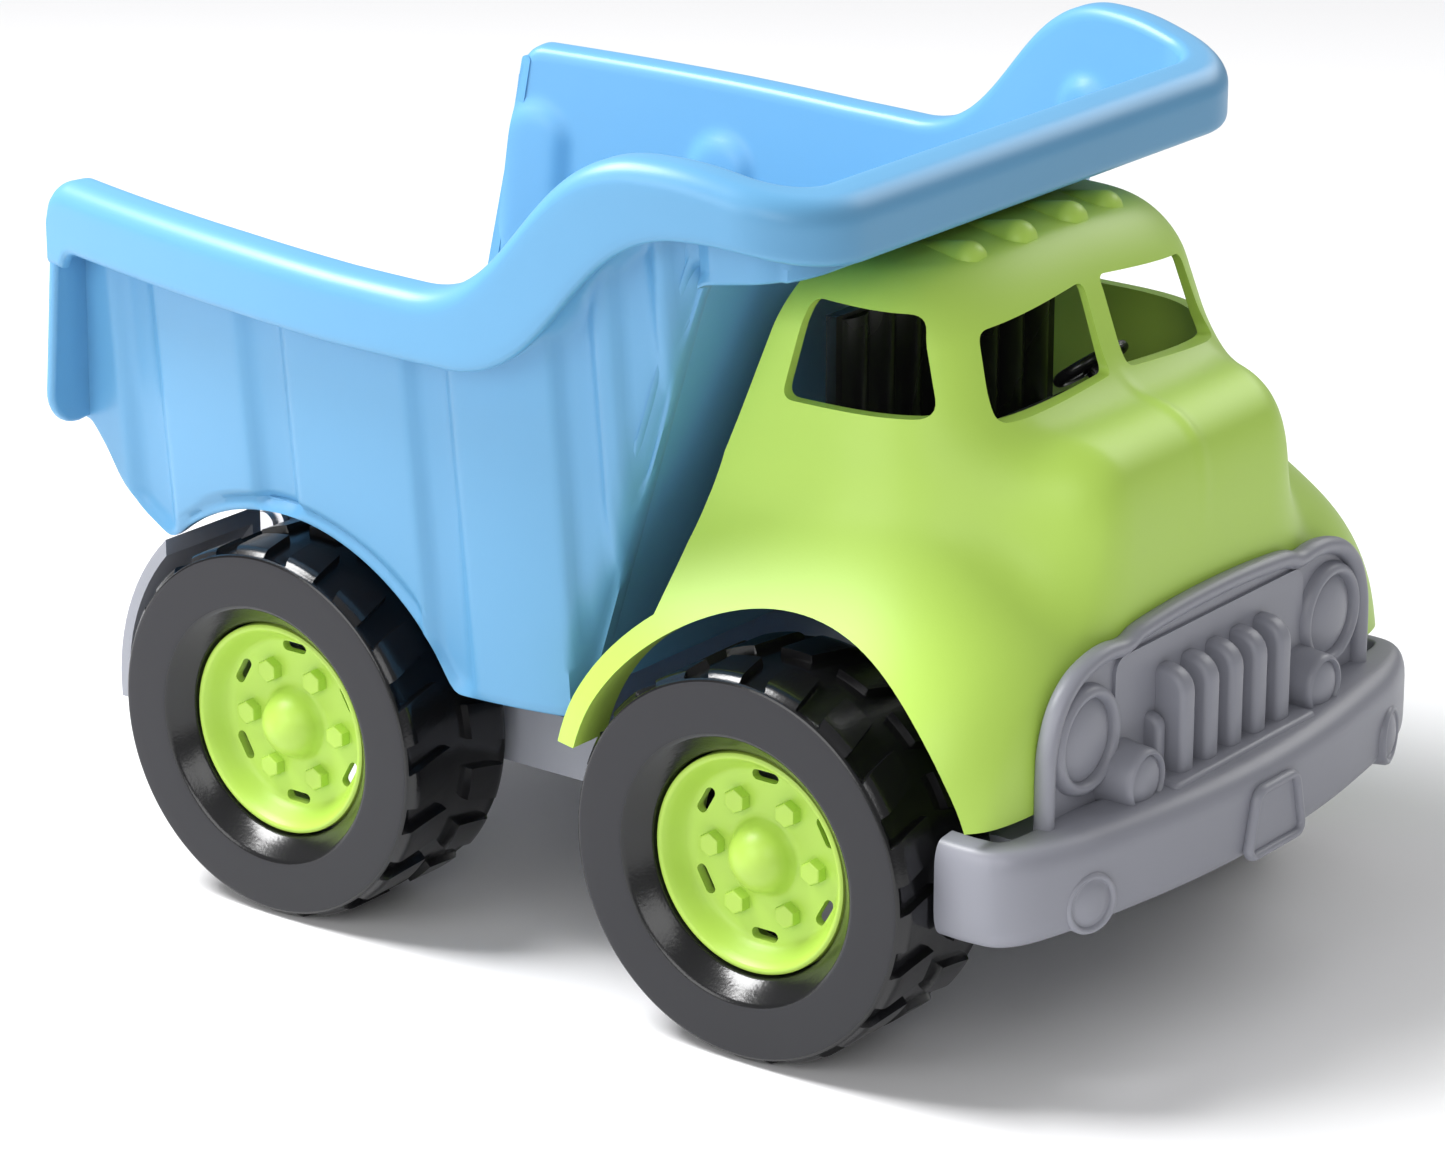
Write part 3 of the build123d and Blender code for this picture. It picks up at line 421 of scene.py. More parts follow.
hub_green = plastic("hub_lime_green", (0.40, 0.60, 0.08), 0.36, grain=0.08)
for wheel, (x, side) in wheels.items():
    lip, face = hub_lip_depth, hub_face_depth
    profile = [(23.5, lip + hub_reach), (23.5, lip + 1.0), (23.35, lip + 0.3), (22.9, lip), (22.4, lip + 0.05),
               (22.0, lip + 0.4), (21.2, lip + 2.0), (20.2, face - 2.2), (19.5, face - 1.0),
               (18.8, face - 0.35), (18.0, face - 0.06), (17.0, face), (13.0, face), (9.6, face),
               (8.6, face - 0.1), (8.0, face - 0.5)]
    ball_height = ball_radius - 0.4
    for k in range(1, 9):
        turn = radians(8 + 80 * k / 8)
        profile.append((ball_radius * cos(turn), face - 0.1 - ball_height * sin(turn)))
    back = face + hub_wall
    inner = [(21.5, lip + hub_reach), (21.5, back + 1.5), (20.5, back), (10.0, back), (4.0, back)]
    outline = inner[::-1] + profile
    flipped = [(radius, -depth) for radius, depth in outline]
    points, faces = revolved(flipped, 96, (x, side * wheel_face_y, axle_z), (0, side, 0),
                             [(-back, 0), (-(face - 0.1 - ball_height), len(outline) - 1)])
    hub = new_piece(wheel + "_hub_dish", points, faces, hub_green, crease=40)
    slots = []
    for k in range(nut_count):
        turn = radians(30 + 60 * k)
        slot_outline = capsule(slot_length, slot_width, turn + pi / 2,
                               x + slot_circle * cos(turn), axle_z + slot_circle * sin(turn))
        low, high = sorted((side * (wheel_face_y - lip - 2), side * (wheel_face_y - back - 4)))
        slots.append(new_piece(f"slot_{k}", *prism(slot_outline, "Y", low, high), hub_green))
    cut(hub, *slots)
    hub.data.shade_smooth()
    hub.data.set_sharp_from_angle(angle=radians(40))
    master = hexagon_nut()
    if side > 0:
        master.data.transform(Matrix.Rotation(pi, 4, "Z"))
    centre = (x * MM, side * (wheel_face_y - face) * MM, axle_z * MM)
    tree = ring_of(wheel + "_nut_ring", nut_count, nut_circle, master, centre, hub_green)
    nuts = set_out(wheel + "_hub_nuts", tree, {"Count": nut_count, "Circle radius": nut_circle * MM,
                                               "Part": master, "Centre": centre, "Material": hub_green})
    bpy.data.objects.remove(master)
    for piece in (hub, nuts):
        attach(piece, wheel.split("_")[0] + "_wheels")
    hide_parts(wheel + "_hub")

# ------------------------------------------------------------------ axles, screws and pin
# Plated steel: the two axles, the screws, and the bed's hinge pin with its
# clips. They keep their own shapes and get a drawn-wire finish.
def drawn_steel(name, colour, roughness):
    """Plated steel with fine drawing lines."""
    material = bpy.data.materials.new(name)
    material.use_nodes = True
    tree = material.node_tree
    node, link = tree.nodes.new, tree.links.new
    shader = tree.nodes["Principled BSDF"]
    shader.inputs["Metallic"].default_value = 1.0
    shader.inputs["Base Color"].default_value = (*colour, 1)
    where, stretch, lines = node("ShaderNodeTexCoord"), node("ShaderNodeMapping"), node("ShaderNodeTexNoise")
    stretch.inputs["Scale"].default_value = (2500.0, 60.0, 2500.0)
    lines.inputs["Scale"].default_value = 1.0
    link(where.outputs["Object"], stretch.inputs["Vector"])
    link(stretch.outputs["Vector"], lines.inputs["Vector"])
    gloss = node("ShaderNodeMapRange")
    gloss.inputs["To Min"].default_value = roughness - 0.08
    gloss.inputs["To Max"].default_value = roughness + 0.12
    link(lines.outputs["Fac"], gloss.inputs["Value"])
    link(gloss.outputs["Result"], shader.inputs["Roughness"])
    bump = node("ShaderNodeBump")
    bump.inputs["Strength"].default_value = 0.15
    bump.inputs["Distance"].default_value = 0.00005
    link(lines.outputs["Fac"], bump.inputs["Height"])
    link(bump.outputs["Normal"], shader.inputs["Normal"])
    return material


steel = drawn_steel("plated_steel", (0.62, 0.62, 0.64), 0.28)
washer_plastic = plastic("washer_black_nylon", (0.02, 0.02, 0.02), 0.5)


def finish_node(name, material):
    """Gives a node that keeps its shape its material."""
    slots = frame["nodes"][name].data.materials
    if not len(slots):
        slots.append(material)
    for k in range(len(slots)):
        slots[k] = material


for name in ("front_axle", "rear_axle", "saddle_screws", "cab_screws", "fascia_screws", "interior_screws",
             "bed_hinge_pin", "hinge_pin_clips"):
    finish_node(name, steel)
for name in ("front_wheel_washers", "rear_wheel_washers"):
    finish_node(name, washer_plastic)

# ------------------------------------------------------------------ cab insert
# The inside of the cab is one gloss black moulding with the dashboard, seat and
# steering wheel. It is screwed in from below and shows through the windows.
interior_black = plastic("interior_gloss_black", (0.010, 0.010, 0.011), 0.22, grain=0.15)
finish_node("cab_interior", interior_black)

# ------------------------------------------------------------------ chassis
# A grey moulded tray with the axle bearings, mudguards and hinge ears, closed
# from below by two screwed saddles.
chassis_grey = plastic("chassis_grey", (0.30, 0.31, 0.35), 0.42, grain=0.10)
for name in ("chassis_frame", "front_axle_saddle", "rear_axle_saddle"):
    finish_node(name, chassis_grey)

# ------------------------------------------------------------------ bed
# The tipping bed is one sky-blue moulding: a tub with leaning walls, a rim that
# dips and rises over the cab in one sweep, a wide down-turned lip, thin rear
# flanges, shallow upright flutes outside and round-topped ribs inside.
bed_wall = 2.6
rim_rear = (-126.5, 154.0)
rim_dip = (-20.0, 150.0)
rim_crest = (34.0, 184.0)
rim_front = (74.0, 177.0)
rim_handle = 26.0
lip_depth = 15.0
lip_trail = 11.0
lip_width = 10.4
lip_round = 4.8
rear_half_width = 74.6
belly_half_width = 84.3
canopy_half_width = 74.6
canopy_front_x = 62.0
canopy_corner = 12.0
canopy_turn = radians(12.6)
draft = 0.10
front_draft_share = 0.4
rear_lean = 0.114
floor_top = 94.0
floor_fillet = 5.0
wall_edge_round = 2.2
lip_edge_round = 1.6
lip_tuck = 2.0
skirt_low = 58.0
flange_low = 97.0
flange_thick = 2.6
rear_round = 5.0
front_edge_round = 7.0
flute_depth = 2.3
rib_depth = 2.0
front_wall_foot = (7.6, 58.0)
front_wall_knee = (41.0, 157.0)
wheel_arch_radius = 47.5
arch_shelf_radius = 51.5
arch_shelf_depth = 1.1
flutes = ((-110.5, 6.3), (-69.2, 6.0), (-22.4, 5.2), (12.7, 4.4), (26.8, 4.6), (39.3, 4.2))
ribs = ((-122.5, 8.5, 140.0), (-72.0, 8.0, 138.5), (-22.4, 7.0, 136.0), (12.7, 6.0, 150.0), (30.5, 6.0, 168.0))


def bezier(p0, p1, p2, p3, t):
    """A cubic curve's points at the parameters t."""
    t = np.asarray(t)[:, None]
    p0, p1, p2, p3 = (np.array(p, float) for p in (p0, p1, p2, p3))
    return (1 - t) ** 3 * p0 + 3 * (1 - t) ** 2 * t * p1 + 3 * (1 - t) * t ** 2 * p2 + t ** 3 * p3


steps = np.linspace(0, 1, 60)
sweep = bezier(rim_dip, (rim_dip[0] + rim_handle, rim_dip[1]),
               (rim_crest[0] - rim_handle, rim_crest[1]), rim_crest, steps)
crown = bezier(rim_crest, (rim_crest[0] + 15, rim_crest[1]),
               (rim_front[0] - 22, rim_front[1] + 4.0), rim_front, steps)
rim_line = np.vstack([[(-160, 155.2), rim_rear, (-70, 151.9), (-40, 150.5)], sweep, crown[1:], [(90, 174.0)]])


def rim_z(x):
    """The rim's height along the truck, without its rounded rear corner."""
    return np.interp(x, rim_line[:, 0], rim_line[:, 1])


def rear_drop(x):
    """How far the rounded corner falls at the rear end."""
    u = np.clip((np.asarray(x) - rim_rear[0]) / rear_round, 0, 1)
    return rear_round * (1 - np.sqrt(1 - (1 - u) ** 2))


def lip_low_z(x):
    """The height of the lip's lower edge, turned down into the flange at the rear."""
    turn_in = 4.0
    x = np.asarray(x)
    u = np.clip((x - rim_rear[0] - flange_thick) / turn_in, 0, 1)
    trailed = rim_z(x - lip_trail * np.clip((x + 40) / 30, 0, 1))
    return trailed - lip_depth - turn_in * (1 - np.sqrt(1 - (1 - u) ** 2))


def smooth_line(points, x, spread=2.2):
    """A line through points, softened where it turns."""
    fine = np.arange(-150, 100, 0.5)
    values = np.interp(fine, [p[0] for p in points], [p[1] for p in points])
    reach = int(3 * spread / 0.5)
    weights = np.exp(-0.5 * (np.arange(-reach, reach + 1) * 0.5 / spread) ** 2)
    padded = np.pad(values, reach, mode="edge")
    return np.interp(x, fine, np.convolve(padded, weights / weights.sum(), mode="valid"))


def front_wall_z(x, shift):
    """The front wall's height over a place, moved by its thickness."""
    run = front_wall_knee[0] - front_wall_foot[0]
    rise = front_wall_knee[1] - front_wall_foot[1]
    length = sqrt(run ** 2 + rise ** 2)
    ahead = x - front_wall_foot[0] + shift * rise / length
    return front_wall_foot[1] + shift * run / length + ahead * rise / run


canopy_line = [(30.0, 156.0), (41.0, 157.5), (60.0, 160.0), (74.0, 162.6)]
fine_x = np.arange(-150.0, 90.0, 0.5)
canopy_z = np.interp(fine_x, [p[0] for p in canopy_line], [p[1] for p in canopy_line])
inside_line = np.clip(front_wall_z(fine_x, bed_wall), floor_top, canopy_z + bed_wall)
arch_x = rear_axle_x
arch = [(arch_x + wheel_arch_radius * cos(radians(a)), axle_z + wheel_arch_radius * sin(radians(a)))
        for a in range(134, 18, -6)]
arch_end_x = arch_x + sqrt(wheel_arch_radius ** 2 - (skirt_low - axle_z) ** 2)
skirt_points = [(-150, flange_low), (-125.0, 96.5), (-119.5, 90.0), (-116.0, 84.0), (-110.0, 79.0),
                (-102.0, 74.5)]
skirt_points += [p for p in arch if p[0] > -101] + [(arch_end_x, skirt_low), (90, skirt_low)]
skirt_line = np.interp(fine_x, [p[0] for p in skirt_points], [p[1] for p in skirt_points])
outside_line = np.clip(front_wall_z(fine_x, 0.0), skirt_line, canopy_z)
inside_pairs = list(zip(fine_x, inside_line))
outside_pairs = list(zip(fine_x, outside_line))

half_path = []
corner_x = canopy_front_x - canopy_corner * (1 - sin(canopy_turn))
widest_x = rim_dip[0] - 14.0
for x in np.concatenate([np.linspace(rim_rear[0], rim_rear[0] + 10, 12, endpoint=False),
                         np.linspace(rim_rear[0] + 10, corner_x, 150)]):
    rear_t = (widest_x - x) / (widest_x - rim_rear[0])
    front_t = (x - widest_x) / (corner_x - widest_x)
    if rear_t > 0:
        width = belly_half_width - (belly_half_width - rear_half_width) * rear_t ** 2
    else:
        width = belly_half_width - (belly_half_width - canopy_half_width) * front_t ** 2
    half_path.append((x, -width))
corner_centre = (canopy_front_x - canopy_corner, -(canopy_half_width - canopy_corner * cos(canopy_turn)))
for k in range(1, 19):
    turn = (canopy_turn - pi / 2) * (1 - k / 18)
    half_path.append((corner_centre[0] + canopy_corner * cos(turn),
                      corner_centre[1] + canopy_corner * sin(turn)))
for k in range(1, 26):
    half_path.append((canopy_front_x, corner_centre[1] * (1 - k / 25)))
half_path = np.array(half_path)
path = np.vstack([half_path, half_path[-2::-1] * (1, -1)])
along = np.gradient(path, axis=0)
along /= np.linalg.norm(along, axis=1)[:, None]
normals = np.stack([along[:, 1], -along[:, 0]], 1)
count = len(path)


def quarter(steps, first=0):
    """The angles of a quarter round, in even steps."""
    return [pi / 2 * k / steps for k in range(first, steps + 1)]


def bed_column(x, y, nx, ny):
    """The tub's surface from the floor over the lip to the skirt, at one place on its path."""
    draft_share = front_draft_share if nx > 0.7 else 1

    def at(out, z):
        """The place a distance outwards from the inner wall's rim edge, at a height."""
        lean = draft * (rim_z(x) - z) * draft_share
        px = x + (out - lean) * nx
        rearward = np.clip((-70 - x) / 56.5, 0, 1) * (z - rim_rear[1]) * rear_lean
        return (px + rearward, y + (out - lean) * ny, z)

    def level(out, z):
        """The place a distance outwards at a height, without the wall's lean."""
        return (x + out * nx, y + out * ny, z)

    def top(out):
        """The rim's height at a distance outwards."""
        return float(rim_z(x + out * nx) - rear_drop(x))

    def edge_pull(z):
        """How far the outside is drawn in at the rounded edge of the front wall."""
        if x < front_wall_foot[0] or x > front_wall_knee[0]:
            return 0.0
        flat = front_edge_round - min(front_edge_round, 0.32 * (z - low_out))
        return front_edge_round - sqrt(front_edge_round ** 2 - min(flat, front_edge_round) ** 2)

    low_in = float(smooth_line(inside_pairs, x, 1.2))
    low_out = float(smooth_line(outside_pairs, x + bed_wall * nx, 1.2))
    lip_low = float(min(lip_low_z(x + lip_width * nx), top(lip_width) - 8.0))
    wall_top = top(0) - wall_edge_round
    low_in = min(low_in, wall_top - 8.0)
    points = [at(-floor_fillet * (1 - sin(turn)), low_in + floor_fillet * (1 - cos(turn)))
              for turn in quarter(4)]
    for z in np.linspace(low_in + floor_fillet, wall_top, 40)[1:]:
        px, py, pz = at(0, z)
        bulge = 0.0
        if abs(ny) > 0.7:
            for rib_x, rib_half, rib_top in ribs:
                u = (px - rib_x) / rib_half
                v = max(0.0, (z - rib_top + rib_half) / rib_half)
                bulge += rib_depth * np.exp(-(u * u + v * v) ** 3)
        points.append((px - bulge * nx, py - bulge * ny, pz))
    for turn in quarter(4, 1):
        out = wall_edge_round * (1 - cos(turn))
        points.append(level(out, top(out) - wall_edge_round * (1 - sin(turn))))
    for out in np.linspace(wall_edge_round, lip_width - lip_round, 4)[1:]:
        points.append(level(out, top(out)))
    for turn in quarter(8, 1):
        out = lip_width - lip_round * (1 - sin(turn))
        points.append(level(out, top(out) - lip_round * (1 - cos(turn))))
    face_low = lip_low + lip_edge_round
    for z in np.linspace(top(lip_width) - lip_round, face_low, 8)[1:]:
        points.append(level(lip_width, z))
    for turn in quarter(4, 1):
        out = lip_width - lip_edge_round * (1 - cos(turn))
        points.append(level(out, face_low - lip_edge_round * sin(turn)))
    inner_out = bed_wall - draft * (rim_z(x) - lip_low) * draft_share
    points += [level(lip_width - 2.6, lip_low), level(lip_width - 2.9, lip_low + 0.4),
               level(lip_width - 3.0, lip_low + lip_tuck), level(inner_out + 1.6, lip_low + lip_tuck),
               level(inner_out + 0.3, lip_low + lip_tuck - 0.8)]
    wall_start = lip_low + lip_tuck - 2.0
    low_out = min(low_out, wall_start - 1.0)
    for z in np.linspace(wall_start, low_out + 0.7, 44):
        px, py, pz = at(bed_wall, z)
        fade = min(1.0, max(0.0, (z - low_out) / 3.0)) * min(1.0, max(0.0, (wall_start - z) / 3.0 + 0.3))
        dent = 0.0
        if nx < 0.5:
            for flute_x, flute_half in flutes:
                u = (px - flute_x) / flute_half
                dent += flute_depth * np.exp(-(u ** 6)) if abs(u) < 1.8 else 0.0
            reach = sqrt((px - arch_x) ** 2 + (z - axle_z) ** 2)
            shelf = float(np.clip((arch_shelf_radius - reach) / 0.8, 0, 1))
            dent += arch_shelf_depth * shelf * (px < arch_x + 38)
        pull = dent * fade + edge_pull(z)
        points.append((px - pull * nx, py - pull * ny, pz))
    for share, lift in ((0.82, 0.12), (0.5, 0.0), (0.18, 0.12)):
        points.append(at(bed_wall * share - edge_pull(low_out), low_out + lift))
    under = max(low_out + 0.8, low_in - bed_wall)
    if x > front_wall_foot[0] and nx < 0.99:
        under = min(low_out + 0.8, low_in - 1.6)
    for z in np.linspace(low_out + 0.7, under, 10):
        points.append(at(-edge_pull(z), z))
    return points


bed_points = np.array([bed_column(x, y, nx, ny) for (x, y), (nx, ny) in zip(path, normals)], float)
depth_count = bed_points.shape[1]
faces = grid_faces(count, depth_count)
points = list(bed_points.reshape(-1, 3))


def span(edge_index, side_rows, flip):
    """A sheet across the tub from the right side's edge points to the left's."""
    start = len(points)
    half_count = count // 2
    for i in range(half_count + 1):
        right, left = bed_points[i, edge_index], bed_points[count - 1 - i, edge_index]
        for k in range(side_rows + 1):
            points.append(right + (left - right) * k / side_rows)
    return grid_faces(half_count + 1, side_rows + 1, start=start, flip=flip)


faces += span(0, 24, True)
faces += span(depth_count - 1, 24, False)
for base in (0, (count - 1) * depth_count):
    faces.append(tuple(range(base, base + depth_count)))
bed_blue = plastic("bed_sky_blue", (0.115, 0.33, 0.56), 0.34, drift=0.06, grain=0.09)
bed = new_piece("bed_shell", points, faces, bed_blue, crease=50)


def flange(side):
    """The thin plate that turns out from a wall's rear end, with rounded corners."""
    outline = []
    outer = rear_half_width + lip_width
    round_top, round_low, foot_step = 6.5, 9.0, 1.0
    for turn in quarter(8):
        outline.append((outer - round_top * (1 - sin(turn)),
                        rim_rear[1] - rear_round * 0.5 - round_top * (1 - cos(turn))))
    for turn in quarter(8):
        outline.append((outer - foot_step - round_low * (1 - cos(turn)),
                        flange_low + round_low * (1 - sin(turn))))
    outline.append((rear_half_width - 7.0, flange_low + 1.0))
    outline.append((rear_half_width - 3.2, rim_rear[1] - 30.0))
    outline.append((rear_half_width, rim_rear[1] - rear_round * 0.5))
    shape = []
    middle = (outer + rear_half_width) / 2
    layers = ((0.0, 0.9), (0.35, 0.25), (0.9, 0.0), (flange_thick - 0.9, 0.0), (flange_thick - 0.3, 0.25),
              (flange_thick, 0.9))
    for thick, shrink in layers:
        for u, v in outline:
            pull = shrink if u > middle else 0.0
            lift = shrink if v < flange_low + 9 else -shrink if v > 145 else 0
            x = rim_rear[0] + thick + rear_lean * (v - rim_rear[1])
            shape.append((x, side * (u - pull), v + lift))
    n = len(outline)
    flange_faces = grid_faces(6, n, wrap_columns=True)
    flange_faces += [tuple(range(n)), tuple(range(6 * n - 1, 5 * n - 1, -1))]
    return new_piece("bed_flange", shape, flange_faces, bed_blue, crease=50)


def joined(name, *parts):
    """One piece made of several."""
    with bpy.context.temp_override(active_object=parts[0], selected_editable_objects=list(parts)):
        bpy.ops.object.join()
    parts[0].name = name
    parts[0].data.name = name
    return parts[0]


hinge = [1000 * v for v in frame["joints"][0]["pos_m"]]
lug_radius = 7
lugs = []
for side in (-1, 1):
    outline = [(hinge[0] + lug_radius * cos(radians(a)), hinge[2] + lug_radius * sin(radians(a)))
               for a in range(-180, 1, 12)]
    outline += [(hinge[0] + 2 * lug_radius, floor_top - 2), (hinge[0] - lug_radius, floor_top - 2)]
    low, high = sorted((side * 24.5, side * 30.5))
    lugs.append(new_piece("hinge_lug", *prism(outline, "Y", low, high), bed_blue))
bed = joined("bed_shell", bed, flange(-1), flange(1), *lugs)
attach(bed, "bed")
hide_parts("dump_bed")

# ------------------------------------------------------------------ cab
# The cab is one hollow lime green moulding: a round-shouldered house with open
# windows, a blunt hood and full-width fenders that all flow together, with
# flanged wheel arches. Four teardrop marker lamps are moulded on its roof.
cab_wall = 2.4
cab_middle = np.array((60.0, 0.0, 92.0))
arch_centre = (front_axle_x + 4.2, axle_z + 5.5)
cab_arch_radius = 46.5
flare = 5.0
sill_z = 58.6
nose_x = 113.0


def rounded_box(p, centre, reach, plan_power, side_power):
    """About how far points are outside a rounded box that reaches ahead, behind, sideways and up."""
    q = p - np.array(centre, float)
    ahead = np.where(q[:, 0] > 0, reach[0], reach[1])
    dx, dy = np.abs(q[:, 0]) / ahead, np.abs(q[:, 1]) / reach[2]
    dz = np.abs(q[:, 2]) / reach[3]
    plan = (dx ** plan_power + dy ** plan_power) ** (side_power / plan_power)
    return ((plan + dz ** side_power) ** (1 / side_power) - 1) * 45.0


def blended(a, b, width):
    """Two shapes joined with a soft hollow between them."""
    h = np.clip(width - np.abs(a - b), 0, None) / width
    return np.minimum(a, b) - h * h * width / 4


def trimmed(a, b, radius):
    """What two shapes share, with an edge rounded to a radius."""
    inside = np.minimum(np.maximum(a, b), -radius)
    return inside + np.hypot(np.clip(a + radius, 0, None), np.clip(b + radius, 0, None))


def house(p):
    """The part of the cab with the windows: leaning walls, raked front and a crowned roof."""
    x, y, z = p.T
    wide = 56.6 - 0.20 * (z - 128.6) + 0.0016 * np.clip(128.6 - z, 0, 60) ** 2
    ahead = 40.2 - 0.37 * (z - 131.0)
    dx = np.clip(x - 50.0, 0, None) / ahead
    walls = ((dx ** 3.4 + (np.abs(y) / wide) ** 3.4) ** (1 / 3.4) - 1) * 50.0
    roof = z - (159.5 - 0.0016 * y ** 2 - 0.0035 * np.clip(x - 55, 0, None) ** 2)
    return trimmed(walls, roof, 11.0)


def nose(p):
    """The blunt hood: upright sides that close in a little, and a rounded top and front."""
    x, y, z = p.T
    half = 54.0 - 14.5 * np.clip((x - 64.0) / 49.0, 0, 1)
    dx = np.abs(x - 80.0) / np.where(x > 80.0, 34.2, 60.0)
    dz = np.abs(z - 84.0) / 43.0
    profile = ((dx ** 4.4 + dz ** 4.4) ** (1 / 4.4) - 1) * 38.0
    crease = 0.4 * np.exp(-(y / 1.8) ** 2) * np.clip((z - 98) / 12, 0, 1) * np.clip((x - 84) / 8, 0, 1)
    return trimmed(profile, np.abs(y) - half, 14.0) - crease


def cab_distance(p):
    """About how far points are outside the cab's skin."""
    x, _, z = p.T
    hood = nose(p)
    fenders = rounded_box(p, (62.0, 0, 58.0), (52.5, 62.0, 86.6, 43.5), 4.2, 2.6)
    skin = blended(blended(house(p), fenders, 20.0), hood, 9.0)
    skin = trimmed(trimmed(skin, x - nose_x, 3.0), 5.0 - x, 3.0)
    return trimmed(skin, sill_z - 12.0 - z, 3.0)


def ball_grid(cells):
    """Directions over a cube's six faces, evenly spread, and the quads between them."""
    ticks = np.tan(np.linspace(-pi / 4, pi / 4, cells + 1))
    u, v = [a.ravel() for a in np.meshgrid(ticks, ticks, indexing="ij")]
    one = np.ones_like(u)
    directions, quads = [], []
    sides = ((one, u, v), (-one, v, u), (v, one, u), (u, -one, v), (u, v, one), (v, u, -one))
    for k, (a, b, c) in enumerate(sides):
        directions.append(np.stack([a, b, c], 1))
        quads += grid_faces(cells + 1, cells + 1, start=k * (cells + 1) ** 2)
    directions = np.vstack(directions)
    return directions / np.linalg.norm(directions, axis=1)[:, None], quads


def skin_from(distance, inset, cells):
    """The closed surface where a distance reaches -inset, seen from the cab's middle."""
    directions, quads = ball_grid(cells)
    near, far = np.zeros(len(directions)), np.full(len(directions), 190.0)
    for _ in range(34):
        middle = (near + far) / 2
        outside = distance(cab_middle + directions * middle[:, None]) > -inset
        far = np.where(outside, middle, far)
        near = np.where(outside, near, middle)
    return cab_middle + directions * near[:, None], quads


def rounded_outline(corners, radii, steps=6):
    """A closed outline whose corners are rounded by their own radii."""
    outline = []
    n = len(corners)
    for k in range(n):
        before, here, after = (np.array(corners[(k + j) % n], float) for j in (-1, 0, 1))
        a, b = before - here, after - here
        a, b = a / np.linalg.norm(a), b / np.linalg.norm(b)
        half = np.arccos(np.clip(a @ b, -1, 1)) / 2
        reach = radii[k] / np.tan(half)
        start, end = here + a * reach, here + b * reach
        for t in np.linspace(0, 1, steps + 1):
            outline.append(tuple((1 - t) ** 2 * start + 2 * t * (1 - t) * here + t ** 2 * end))
    return outline


def cutter(name, outline, direction, low, high):
    """A straight-sided tool for an opening."""
    return new_piece(name, *prism(outline, direction, low, high), cab_green)


cab_green = plastic("cab_lime_green", (0.44, 0.66, 0.10), 0.38, drift=0.05, grain=0.10)
cells = 96
cab = new_piece("cab_skin", *skin_from(cab_distance, 0.0, cells), cab_green, merge=0.00002)
hollow = new_piece("cab_hollow", *skin_from(cab_distance, cab_wall, cells // 2), cab_green, merge=0.00002)
liner_radius = cab_arch_radius + cab_wall
liner = [(arch_centre[0] + liner_radius * cos(t), arch_centre[1] + liner_radius * sin(t))
         for t in np.linspace(0, 2 * pi, 72, endpoint=False)]
cut(hollow, cutter("liner_left", liner, "Y", 77.0, 120.0), cutter("liner_right", liner, "Y", -120.0, -77.0))

behind = [(49.5, 175.0), (46.7, 157.0), (42.3, 143.0), (38.0, 128.6), (34.8, 118.0), (33.0, 108.5),
          (31.8, 100.0)]
flare_radius = cab_arch_radius + flare
behind += [(arch_centre[0] - flare_radius * cos(t), arch_centre[1] + flare_radius * sin(t))
           for t in np.linspace(radians(52), radians(13), 14)]
behind += [(-40.0, 58.0), (-40.0, 175.0)]
arch_tool = [(arch_centre[0] + cab_arch_radius * cos(t), arch_centre[1] + cab_arch_radius * sin(t))
             for t in np.linspace(0, 2 * pi, 120, endpoint=False)]
side_window = rounded_outline([(46.8, 130.6), (50.3, 151.0), (74.0, 150.0), (80.2, 130.6)],
                              (2.5, 3.0, 4.5, 3.0))
below = [(-60, -20), (150, -20), (150, sill_z), (-60, sill_z)]
tools = [cutter(name, outline, "Y", -130, 130)
         for name, outline in (("behind", behind), ("arch", arch_tool), ("under", below))]
tools += [cutter("window_left", side_window, "Y", 35, 90), cutter("window_right", side_window, "Y", -90, -35)]
for side in (-1, 1):
    pane = [(side * 3.2, 131.0), (side * 3.0, 149.2), (side * 37.2, 146.0), (side * 40.0, 128.8)]
    tools.append(cutter("pane", rounded_outline(pane, (2.0, 2.0, 3.2, 2.0)), "X", 66, 108))
cut(cab, hollow, *tools)
cab.data.shade_smooth()
cab.data.set_sharp_from_angle(angle=radians(32))


lamp_radius = 4.3
lamp_nose_x = 4.2
lamp_length = 26.0
lamp_nose_share = 0.16


def teardrop_lamp():
    """One roof lamp: a round nose that tapers to a low tail behind it."""
    points, outline, around = [], [], 20
    for t in np.linspace(0.02, 1.0, 26):
        if t < lamp_nose_share:
            height = lamp_radius * sqrt(max(0.0, 1 - ((t - lamp_nose_share) / lamp_nose_share) ** 2))
        else:
            height = lamp_radius * (1 - max(0.0, (t - lamp_nose_share) / (1 - lamp_nose_share))) ** 0.75
        outline.append((lamp_nose_x - lamp_length * t, max(height, 0.05)))
    for along, height in outline:
        for k in range(around):
            turn = 2 * pi * k / around
            points.append((along, height * 1.05 * cos(turn), height * sin(turn)))
    lamp_faces = grid_faces(len(outline), around, wrap_columns=True)
    lamp_faces += [tuple(range(around)), tuple(range(len(points) - 1, len(points) - around - 1, -1))]
    return new_piece("lamp_master", points, lamp_faces, cab_green, crease=60)


